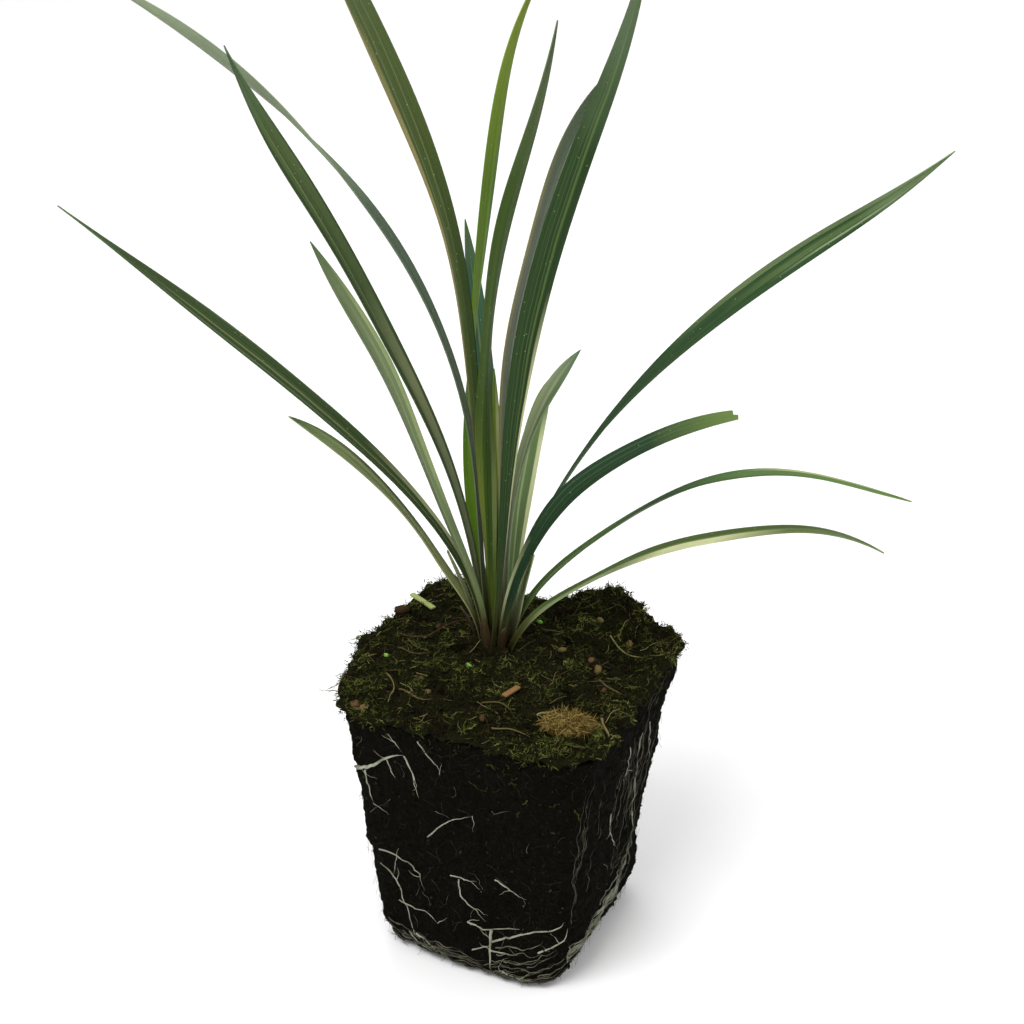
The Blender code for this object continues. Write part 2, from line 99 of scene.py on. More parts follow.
class Hand:
    """Short names for the operators that select, shape and finish a mesh."""

    @staticmethod
    def deselect() -> None:
        """Deselect every object, in object mode."""
        if bpy.context.object and bpy.context.object.mode != "OBJECT":
            Hand.close()
        bpy.ops.object.select_all(action="DESELECT")

    @staticmethod
    def take(*things: bpy.types.Object) -> bpy.types.Object:
        """Select only these objects and make the first one active.

        Args:
            things: The objects.

        Returns:
            The first of them.
        """
        Hand.deselect()
        for thing in things:
            thing.select_set(True)
        bpy.context.view_layer.objects.active = things[0]
        return things[0]

    @staticmethod
    def edit(thing: bpy.types.Object) -> None:
        """Open a mesh in edit mode with everything selected."""
        Hand.take(thing)
        bpy.ops.object.mode_set(mode="EDIT")
        bpy.ops.mesh.select_all(action="SELECT")

    @staticmethod
    def close() -> None:
        """Go back to object mode."""
        bpy.ops.object.mode_set(mode="OBJECT")

    @staticmethod
    def new(name: str, data: bpy.types.ID) -> bpy.types.Object:
        """Make an object of some data and put it in the scene."""
        made = bpy.data.objects.new(name, data)
        bpy.context.scene.collection.objects.link(made)
        return made

    @staticmethod
    def read(mesh: bpy.types.Mesh) -> tuple[np.ndarray, np.ndarray]:
        """Read a mesh's triangles.

        Args:
            mesh: The mesh.

        Returns:
            The places of its vertices and the vertices of each triangle, both N by 3.
        """
        places = np.empty(len(mesh.vertices) * 3)
        mesh.vertices.foreach_get("co", places)
        mesh.calc_loop_triangles()
        faces = np.empty(len(mesh.loop_triangles) * 3, np.int32)
        mesh.loop_triangles.foreach_get("vertices", faces)
        return places.reshape(-1, 3), faces.reshape(-1, 3)

    @staticmethod
    def pick(thing: bpy.types.Object, wanted: Callable[[Vector], bool]) -> None:
        """Select the vertices of the mesh in edit mode whose place is wanted.

        Args:
            thing: The object in edit mode.
            wanted: Tells from a vertex's place whether it is selected.
        """
        mesh = bmesh.from_edit_mesh(thing.data)
        for vert in mesh.verts:
            vert.select_set(wanted(vert.co))
        mesh.select_flush_mode()
        bmesh.update_edit_mesh(thing.data)

    @staticmethod
    def finish(thing: bpy.types.Object, name: str, angle: float = 60.0) -> bpy.types.Object:
        """Apply all modifiers and the object's own place, and shade it smooth.

        Args:
            thing: The object.
            name: Its final name.
            angle: The angle in degrees above which an edge stays sharp.

        Returns:
            The same object.
        """
        Hand.take(thing)
        for modifier in [item.name for item in thing.modifiers]:
            bpy.ops.object.modifier_apply(modifier=modifier)
        bpy.ops.object.transform_apply(location=True, rotation=True, scale=True)
        bpy.ops.object.shade_smooth_by_angle(angle=math.radians(angle))
        thing.name = name
        thing.data.name = name
        return thing

    @staticmethod
    def join(things: Sequence[bpy.types.Object], name: str) -> bpy.types.Object:
        """Join objects into one and name it.

        Args:
            things: The objects, of one type.
            name: The name of the joined object.

        Returns:
            The joined object.
        """
        joined = Hand.take(*things)
        if len(things) > 1:
            bpy.ops.object.join()
        joined.name = name
        joined.data.name = name
        return joined

    @staticmethod
    def tone(thing: bpy.types.Object, tone: float) -> None:
        """Give every vertex of a mesh the same tone, which its finish reads."""
        layer = thing.data.attributes.new("tone", "FLOAT", "POINT")
        layer.data.foreach_set("value", np.full(len(thing.data.vertices), tone, np.float32))

    @staticmethod
    def reskin(thing: bpy.types.Object, voxel: float) -> None:
        """Lay one closed skin of even small faces over a mesh.

        Args:
            thing: The active object.
            voxel: The size of the faces in metres.
        """
        skin = thing.modifiers.new("skin", "REMESH")
        skin.mode = "VOXEL"
        skin.voxel_size = voxel
        bpy.ops.object.modifier_apply(modifier=skin.name)

    @staticmethod
    def copy_of_node(frame: dict[str, Any], node: str) -> bpy.types.Object:
        """Copy a node's solid and merge its loose triangles into one closed mesh.

        Args:
            node: The node's name.

        Returns:
            The copy, on no body.
        """
        source = frame["nodes"][node]
        copy = Hand.new(f"{node}_copy", source.data.copy())
        copy.data.materials.clear()
        Hand.edit(copy)
        bpy.ops.mesh.remove_doubles(threshold=NEAR)
        Hand.close()
        return copy


def within(value: float, low: float, high: float) -> float:
    """The value kept from low to high."""
    return min(max(value, low), high)


def course(values: Sequence[float], share: float) -> float:
    """Read a smooth curve through evenly spaced values.

    Args:
        values: The values from start to end.
        share: The place along the curve, from 0 to 1.

    Returns:
        The value there.
    """
    last = len(values) - 1
    place = within(share, 0.0, 1.0) * last
    index = min(int(place), last - 1)
    along = place - index
    before = values[index - 1] if index > 0 else 2 * values[0] - values[1]
    after = values[index + 2] if index < last - 1 else 2 * values[last] - values[last - 1]
    start, end = values[index], values[index + 1]
    slope = (end - before) * along
    bend = (2 * before - 5 * start + 4 * end - after) * along**2
    turn = (3 * start - before - 3 * end + after) * along**3
    return 0.5 * (2 * start + slope + bend + turn)


def route_at(route: Sequence[tuple[float, float]], share: float) -> tuple[float, float]:
    """Read a smooth curve through points of a plane, as course does for values."""
    first, second = zip(*route)
    return course(first, share), course(second, share)


# Shader maths


class Value:
    """A number that varies over a surface: a shader socket that takes Python's operators."""

    def __init__(self, paint: Paint, socket: bpy.types.NodeSocket) -> None:
        """Wrap a socket of the paint's node tree."""
        self.paint = paint
        self.socket = socket

    def _maths(self, operation: str, *terms: Value | float, clamp: bool = False) -> Value:
        """Add a Math node on the terms."""
        return self.paint.node("Math", {"operation": operation, "use_clamp": clamp}, *terms)

    def __add__(self, other: Value | float) -> Value:
        """Sum."""
        return self._maths("ADD", self, other)

    def __sub__(self, other: Value | float) -> Value:
        """Difference."""
        return self._maths("SUBTRACT", self, other)

    def __rsub__(self, other: float) -> Value:
        """Difference from a number."""
        return self._maths("SUBTRACT", other, self)

    def __mul__(self, other: Value | float) -> Value:
        """Product."""
        return self._maths("MULTIPLY", self, other)

    def __truediv__(self, other: Value | float) -> Value:
        """Quotient."""
        return self._maths("DIVIDE", self, other)

    def __abs__(self) -> Value:
        """Absolute value."""
        return self._maths("ABSOLUTE", self)

    def clamped(self) -> Value:
        """The value kept from 0 to 1."""
        return self._maths("ADD", self, 0.0, clamp=True)

    def rising(self, start: float, end: float) -> Value:
        """0 up to start, 1 from end on, and even between them."""
        return ((self - start) / (end - start)).clamped()


class Paint:
    """A Principled material that is built up node by node."""

    def __init__(self, name: str, roughness: float = 0.9, gloss: float = 0.04) -> None:
        """Make the material with a constant roughness and strength of its reflections."""
        self.material = bpy.data.materials.new(name)
        self.material.use_nodes = True
        self.tree = self.material.node_tree
        self.shader = self.tree.nodes["Principled BSDF"]
        self.shader.inputs["Roughness"].default_value = roughness
        self.shader.inputs["Specular IOR Level"].default_value = gloss

    def node(
        self, kind: str, settings: dict[str, Any], *terms: Any, output: int | str = 0, **named: Any
    ) -> Value:
        """Add a shader node.

        Args:
            kind: The node's type, without its ShaderNode prefix.
            settings: Its properties, which are set first.
            terms: Values or links of its first sockets, in order.
            output: The socket that is returned.
            named: Values or links of its sockets by name.

        Returns:
            The output socket.
        """
        made = self.tree.nodes.new(f"ShaderNode{kind}")
        for key, setting in settings.items():
            setattr(made, key, setting)
        pairs = [(made.inputs[index], term) for index, term in enumerate(terms)]
        pairs += [(made.inputs[name.replace("_", " ")], term) for name, term in named.items()]
        for socket, term in pairs:
            if isinstance(term, Value):
                self.tree.links.new(term.socket, socket)
            else:
                socket.default_value = term
        return Value(self, made.outputs[output])

    def place(self) -> Value:
        """The Object coordinates."""
        return self.node("TexCoord", {}, output="Object")

    def strand(self) -> tuple[Value, Value]:
        """The UV map's two numbers: along the piece and across it."""
        uv = self.node("TexCoord", {}, output="UV")
        return (
            self.node("SeparateXYZ", {}, uv, output="X"),
            self.node("SeparateXYZ", {}, uv, output="Y"),
        )

    def attribute(self, name: str) -> Value:
        """A number that the mesh carries."""
        return self.node("Attribute", {"attribute_name": name}, output="Fac")

    def vector(self, x: Value | float, y: Value | float, z: Value | float) -> Value:
        """A vector of three numbers."""
        return self.node("CombineXYZ", {}, x, y, z)

    def cloud(self, where: Value, scale: float, detail: float = 3.0, rough: float = 0.55) -> Value:
        """Smooth noise from 0 to 1, its contrast raised."""
        raw = self.node(
            "TexNoise", {}, Vector=where, Scale=scale, Detail=detail, Roughness=rough, output="Fac"
        )
        return ((raw - 0.5) * 1.7 + 0.5).clamped()

    def grains(self, where: Value, scale: float) -> Value:
        """Distance from the nearest of many scattered points, in cells."""
        return self.node("TexVoronoi", {}, Vector=where, Scale=scale, output="Distance")

    def mix(self, share: Value | float, first: Value | Colour, second: Value | Colour) -> Value:
        """Blend two colours."""
        made = self.tree.nodes.new("ShaderNodeMix")
        made.data_type = "RGBA"
        for index, term in ((0, share), (6, first), (7, second)):
            if isinstance(term, Value):
                self.tree.links.new(term.socket, made.inputs[index])
            elif index:
                made.inputs[index].default_value = (*term, 1.0)
            else:
                made.inputs[index].default_value = term
        return Value(self, made.outputs[2])

    def shades(self, share: Value, *stops: tuple[float, Colour]) -> Value:
        """A colour ramp through the stops."""
        made = self.tree.nodes.new("ShaderNodeValToRGB")
        ramp = made.color_ramp
        while len(ramp.elements) < len(stops):
            ramp.elements.new(1.0)
        for element, (place, colour) in zip(ramp.elements, stops):
            element.position = place
            element.color = (*colour, 1.0)
        self.tree.links.new(share.socket, made.inputs[0])
        return Value(self, made.outputs[0])

    def cover(
        self, colour: Value, roughness: Value | None = None, height: Value | None = None,
        depth: float = 0.0,
    ) -> bpy.types.Material:
        """Feed the shader.

        Args:
            colour: The base colour.
            roughness: The roughness, where it varies.
            height: The height for the bump, from 0 to 1.
            depth: The bump's depth in metres.

        Returns:
            The material.
        """
        self.tree.links.new(colour.socket, self.shader.inputs["Base Color"])
        if roughness is not None:
            self.tree.links.new(roughness.socket, self.shader.inputs["Roughness"])
        if height is not None:
            bump = self.node("Bump", {}, Strength=1.0, Distance=depth, Height=height)
            self.tree.links.new(bump.socket, self.shader.inputs["Normal"])
        return self.material


# Finishes


@dataclass(frozen=True)
class Stripe:
    """A lengthwise band of colour on a blade: mostly its own stripes, and on leaf_02 a painted shadow
    across the whole width. place and half are shares of its width from margin to margin.

    start and end are shares of the blade's length, where the stripe fades in and out. colour is
    given as it shows on a display.
    """

    place: float
    half: float
    colour: Colour
    start: float = -0.2
    end: float = 1.3
    strength: float = 0.9


def display(red: float, green: float, blue: float) -> Colour:
    """The shader's colour for one that is given as it shows on a display, from 0 to 255."""
    return tuple(
        part / 255 / 12.92 if part < 10 else ((part / 255 + 0.055) / 1.055) ** 2.4
        for part in (red, green, blue)
    )


def dimmed(colour: Colour, share: float) -> Colour:
    """A colour with only a share of its light."""
    return tuple(share * part for part in colour)


# Colours of leaves, as they show on a display
CREAM = (208, 212, 160)
PALE = (150, 164, 118)
GREY_GREEN = (108, 124, 90)
LIGHT_GREEN = (96, 118, 72)
BLUE_GREEN = (52, 80, 58)
DEEP_GREEN = (38, 60, 32)
OLIVE = (74, 88, 40)
LIME = (112, 134, 44)
TAN = (152, 142, 92)
GREY_VIOLET = (100, 110, 94)
FOOT_GREEN = (112, 116, 56)
FOOT_BROWN = (46, 34, 20)

# Where a stripe's edge fades, in shares of the width, and how far it takes to come and go, in
# shares of the length. The heel is the brown end of a blade's foot, in millimetres.
STRIPE_EDGE = (-0.012, 0.03)
FADE_IN = 0.12
FADE_OUT = 0.16
HEEL = (4.0, 22.0)
RIBS_PER_MM = 0.62
SPECKS_PER_MM = 0.42
SPECK_EDGE = (0.06, 0.11)


@dataclass(frozen=True)
class LeafFinish:
    """The finish of one strap leaf: its ground colour, its stripes and its two ends.

    Colours are given as they show on a display.
    """

    ground: Colour
    stripes: tuple[Stripe, ...]
    under: Colour = GREY_GREEN
    under_share: float = 0.2
    tip: Colour = LIGHT_GREEN
    tip_start: float = 0.86
    foot: Colour = FOOT_GREEN
    foot_end: float = 0.17
    contrast: float = 0.5

    def material(self, name: str, length: float, width: float, seed: float) -> bpy.types.Material:
        """Build the material.

        Args:
            name: The material's name.
            length: The blade's length in millimetres.
            width: Its width in millimetres.
            seed: Sets the veins of this leaf apart from the others'.

        Returns:
            The material.
        """
        paint = Paint(name, 0.5, 0.06)
        along, across = paint.strand()
        sway = paint.cloud(paint.vector(along * (length * 0.05), seed, 0.0), 1.0, 1.0) - 0.5
        fine = paint.cloud(
            paint.vector(along * (length * 0.012), across * (width * 1.6), seed), 1.0, 4.0, 0.7
        )
        broad = paint.cloud(
            paint.vector(along * (length * 0.006), across * (width * 0.45), seed + 7), 1.0, 2.0
        )
        ground, under, tip, foot_hue = (
            display(*hue) for hue in (self.ground, self.under, self.tip, self.foot)
        )
        dark = dimmed(ground, 0.5)
        light = tuple(min(1.0, 1.5 * part + 0.004) for part in ground)
        colour = paint.mix(fine * self.contrast + (0.5 - 0.5 * self.contrast), dark, light)
        colour = paint.mix(broad.rising(0.5, 1.0) * 0.5, colour, light)
        colour = paint.mix((1.0 - broad.rising(0.0, 0.5)) * 0.5, colour, dark)
        for stripe in self.stripes:
            reach = stripe.half - abs(across - stripe.place + sway * 0.05)
            mask = reach.rising(*STRIPE_EDGE) * along.rising(stripe.start, stripe.start + FADE_IN)
            mask = mask * (1.0 - along.rising(stripe.end - FADE_OUT, stripe.end))
            hue = display(*stripe.colour)
            shade = paint.mix(fine, dimmed(hue, 0.72), hue)
            colour = paint.mix(mask * stripe.strength, colour, shade)
        underside = paint.attribute("under") * self.under_share
        colour = paint.mix(underside, colour, paint.mix(fine, display(*GREY_VIOLET), under))
        ribs = paint.node(
            "TexWave", {"bands_direction": "Y", "wave_profile": "SIN"},
            Vector=paint.vector(0.0, across * width, 0.0), Scale=RIBS_PER_MM, output="Fac",
        )
        colour = paint.mix((1.0 - ribs) * 0.16, colour, dark)
        foot = 1.0 - (along + sway * 0.03).rising(0.03, self.foot_end)
        colour = paint.mix(foot * 0.85, colour, paint.mix(fine, dimmed(foot_hue, 0.55), foot_hue))
        heel = 1.0 - (along * length + sway * 6.0).rising(*HEEL)
        colour = paint.mix(heel * 0.85, colour, display(*FOOT_BROWN))
        end = (along + sway * 0.04).rising(self.tip_start, 1.02)
        colour = paint.mix(end * 0.8, colour, tip)
        spot = paint.vector(along * length, across * width, seed)
        specks = paint.grains(spot, SPECKS_PER_MM)
        colour = paint.mix((1.0 - specks.rising(*SPECK_EDGE)) * 0.5, colour, display(*PALE))
        rough = paint.cloud(spot, 0.2) * 0.16 + 0.42
        return paint.cover(colour, rough, ribs * 0.6 + fine * 0.4, 0.18 * MM)


class SoilFinish:
    """Finishes of the peat and of what lies in it. tone is a number that each mesh carries."""

    @staticmethod
    def peat() -> bpy.types.Material:
        """Nearly black peat with a web of brown fibres."""
        paint = Paint("peat", 0.95, 0.02)
        where = paint.place()
        patches = paint.cloud(where, 60.0, 4.0)
        crumbs = paint.cloud(where, 900.0, 4.0, 0.7)
        fibre = paint.node("Mapping", {}, where, Scale=(1.0, 1.0, 0.28))
        threads = paint.cloud(fibre, 1400.0, 5.0, 0.75)
        colour = paint.shades(
            crumbs * 0.6 + threads * 0.4,
            (0.25, (0.0018, 0.0017, 0.0012)),
            (0.55, (0.0046, 0.0044, 0.0031)),
            (0.85, (0.0145, 0.0132, 0.0090)),
        )
        damp = paint.mix(patches * 0.5, colour, (0.003, 0.0028, 0.002))
        return paint.cover(damp, None, crumbs * 0.6 + threads * 0.4, 0.6 * MM)

    @staticmethod
    def toned(name: str, stops: Sequence[tuple[float, Colour]], grain: float = 1500.0,
              roughness: float = 0.9) -> bpy.types.Material:
        """Colour each copy by its tone, with a fine grain over it.

        Args:
            name: The material's name.
            stops: The ramp that the tone reads.
            grain: The grain's scale.
            roughness: The constant roughness.

        Returns:
            The material.
        """
        paint = Paint(name, roughness)
        speck = paint.cloud(paint.place(), grain, 3.0) - 0.5
        tone = (paint.attribute("tone") + speck * 0.14).clamped()
        return paint.cover(paint.shades(tone, *stops))

    @staticmethod
    def white_root() -> bpy.types.Material:
        """Off-white roots, browner where the tone is low."""
        paint = Paint("white roots", 0.6, 0.15)
        where = paint.place()
        stain = paint.cloud(where, 260.0, 4.0)
        tone = (paint.attribute("tone") + (stain - 0.5) * 0.7).clamped()
        colour = paint.shades(
            tone,
            (0.0, (0.012, 0.009, 0.006)),
            (0.35, (0.042, 0.037, 0.024)),
            (0.7, (0.135, 0.138, 0.092)),
            (1.0, (0.29, 0.31, 0.235)),
        )
        return paint.cover(colour, None, stain, 0.2 * MM)

    @staticmethod
    def moss_bed() -> bpy.types.Material:
        """Dark brown and green ground between the fronds."""
        paint = Paint("moss bed", 0.95, 0.02)
        where = paint.place()
        patch = paint.cloud(where, 95.0, 4.0)
        fine = paint.cloud(where, 1300.0, 4.0, 0.7)
        brown = paint.mix(fine, (0.002, 0.0015, 0.001), (0.022, 0.015, 0.008))
        green = paint.mix(fine, (0.002, 0.0026, 0.001), (0.020, 0.024, 0.007))
        return paint.cover(paint.mix(patch, brown, green), None, fine, 0.6 * MM)

    @staticmethod
    def stem() -> bpy.types.Material:
        """Purple-brown skin of the short stem."""
        paint = Paint("stem", 0.6)
        streak = paint.node("Mapping", {}, paint.place(), Scale=(1.0, 1.0, 0.15))
        fine = paint.cloud(streak, 900.0, 4.0)
        skin = paint.mix(fine, (0.02, 0.011, 0.009), (0.09, 0.055, 0.035))
        return paint.cover(skin, None, fine, 0.3 * MM)


# Leaves


SHEATH = LeafFinish(
    (58, 42, 28), (Stripe(0.5, 0.2, (84, 70, 40)),), under=(60, 46, 30),
    tip=(96, 82, 50), tip_start=0.8, foot=(60, 50, 28), foot_end=0.3,
)


@dataclass(frozen=True)
class Course:
    """How a leaf runs. Angles are degrees and sizes millimetres.

    seat is the polar place of its foot round the crown. azimuth, lean from upright and roll
    about its rib are read at even steps from foot to tip.
    """

    seat: tuple[float, float]
    azimuth: tuple[float, ...]
    lean: tuple[float, ...]
    roll: tuple[float, ...]
    length: float
    width: float
    cut: bool = False


@dataclass
class Blade:
    """A flat master blade, one metre long, that each leaf is a copy of."""

    rings: int = 64
    cells: int = 8
    base_share: float = 0.30
    swell_power: float = 1.9
    widest_at: float = 0.5
    tip_share: float = 0.03
    cut_share: float = 0.45
    foot_fold: float = 0.34
    body_fold: float = 0.10
    fold_fade: float = 0.14
    cut_slant: float = 0.012
    cut_side: float = 0.05
    near_ring: float = 0.4
    masters: dict[bool, bpy.types.Object] = field(default_factory=dict)

    def width_at(self, share: float, cut: bool) -> float:
        """The blade's width at a share of its length, as a share of its full width."""
        if share < self.widest_at:
            swell = math.sin(0.5 * math.pi * share / self.widest_at) ** self.swell_power
            return self.base_share + (1.0 - self.base_share) * swell
        tip = self.cut_share if cut else self.tip_share
        past = (share - self.widest_at) / (1.0 - self.widest_at)
        return tip + (1.0 - tip) * (1.0 - past**3)

    def fold_at(self, share: float) -> float:
        """How far a margin stands above the rib, as a share of the full width."""
        return self.body_fold + (self.foot_fold - self.body_fold) * math.exp(-share / self.fold_fade)

    def model(self, cut: bool) -> bpy.types.Object:
        """Model the master: a grid narrowed ring by ring, its columns raised to a channel.

        Args:
            cut: Whether the tip is cut square.

        Returns:
            The master.
        """
        Hand.deselect()
        bpy.ops.mesh.primitive_grid_add(
            x_subdivisions=self.rings, y_subdivisions=self.cells, size=1.0, location=(0.5, 0, 0)
        )
        blade = bpy.context.object
        bpy.ops.object.transform_apply(location=True)
        bpy.ops.object.mode_set(mode="EDIT")
        near = self.near_ring / self.rings
        for ring in range(self.rings + 1):
            share = ring / self.rings
            Hand.pick(blade, lambda co: abs(co.x - share) < near)
            width = self.width_at(share, cut)
            bpy.ops.transform.resize(value=(1.0, width, 1.0), center_override=(share, 0.0, 0.0))
            for column in range(1, self.cells // 2 + 1):
                outer = (column - 0.5) / self.cells * width
                Hand.pick(blade, lambda co: abs(co.x - share) < near and abs(co.y) > outer)
                lift = 2 * self.fold_at(share) * width / self.cells
                bpy.ops.transform.translate(value=(0.0, 0.0, lift))
            Hand.pick(blade, lambda co: abs(co.x - share) < near)
            drop = -0.5 * self.fold_at(share) * width
            bpy.ops.transform.translate(value=(0.0, 0.0, drop))
        if cut:
            Hand.pick(blade, lambda co: co.x > 1.0 - near and co.y > self.cut_side)
            bpy.ops.transform.translate(value=(-self.cut_slant, 0.0, 0.0))
        Hand.close()
        blade.name = "blade_master_cut" if cut else "blade_master"
        return blade

    def copy(self, cut: bool) -> bpy.types.Object:
        """A new copy of the master, with its own mesh."""
        if cut not in self.masters:
            self.masters[cut] = self.model(cut)
        return Hand.new("blade", self.masters[cut].data.copy())

    def clear(self) -> None:
        """Remove the masters once every leaf has been copied."""
        for master in self.masters.values():
            bpy.data.objects.remove(master)
        self.masters.clear()


@dataclass
class Leaf:
    """A strap leaf: a copy of the blade, bent along its course and given its thickness."""

    name: str
    run: Course
    dress: LeafFinish
    thickness: float = 0.42 * MM
    steps: int = 96
    seed_step: float = 3.7
    crown: Vector = field(default_factory=lambda: Vector((CROWN_X, CROWN_Y, 100.2 * MM)))

    def guide(self) -> bpy.types.Object:
        """A curve along the leaf's rib, tilted as the blade rolls.

        Returns:
            The curve's object.
        """
        radius, angle = self.run.seat
        angle = math.radians(angle)
        seat = Vector((radius * math.cos(angle), radius * math.sin(angle), 0.0)) * MM
        curve = bpy.data.curves.new("guide", "CURVE")
        curve.dimensions = "3D"
        curve.twist_mode = "Z_UP"
        line = curve.splines.new("POLY")
        line.points.add(self.steps)
        place = self.crown + seat
        for index, point in enumerate(line.points):
            point.co = (*place, 1.0)
            point.tilt = math.radians(course(self.run.roll, index / self.steps))
            share = (index + 0.5) / self.steps
            lean = math.radians(course(self.run.lean, share))
            azimuth = math.radians(course(self.run.azimuth, share))
            out = math.sin(lean)
            step = Vector((out * math.cos(azimuth), out * math.sin(azimuth), math.cos(lean)))
            place = place + step * (self.run.length * MM / self.steps)
        return Hand.new("guide", curve)

    def mark_underside(self, leaf: bpy.types.Object, upper: int) -> None:
        """Give the second half of the shell's vertices the mark of the underside.

        Args:
            leaf: The leaf after its thickness is applied.
            upper: How many vertices the sheet had.
        """
        count = len(leaf.data.vertices)
        marks = np.zeros(count, np.float32)
        marks[upper:] = 1.0
        layer = leaf.data.attributes.new("under", "FLOAT", "POINT")
        layer.data.foreach_set("value", marks)

    def build(self, blade: Blade) -> bpy.types.Object:
        """Build and dress the leaf.

        Args:
            blade: The master that it copies.

        Returns:
            The leaf.
        """
        leaf = blade.copy(self.run.cut)
        Hand.edit(leaf)
        width = self.run.width * MM
        bpy.ops.transform.resize(
            value=(self.run.length * MM, width, width), center_override=(0.0, 0.0, 0.0)
        )
        Hand.close()
        guide = self.guide()
        bend = leaf.modifiers.new("bend", "CURVE")
        bend.object = guide
        upper = len(leaf.data.vertices)
        bpy.ops.object.modifier_apply(modifier=bend.name)
        bpy.data.objects.remove(guide)
        shell = leaf.modifiers.new("thickness", "SOLIDIFY")
        shell.thickness = self.thickness
        shell.offset = 0.0
        Hand.finish(leaf, f"{self.name}_strap", 50.0)
        self.mark_underside(leaf, upper)
        seed = int(self.name[-2:]) * self.seed_step
        finish = self.dress.material(f"{self.name} skin", self.run.length, self.run.width, seed)
        leaf.data.materials.append(finish)
        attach(leaf, BODY)
        if self.name.startswith("leaf_"):
            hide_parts(self.name)
        return leaf


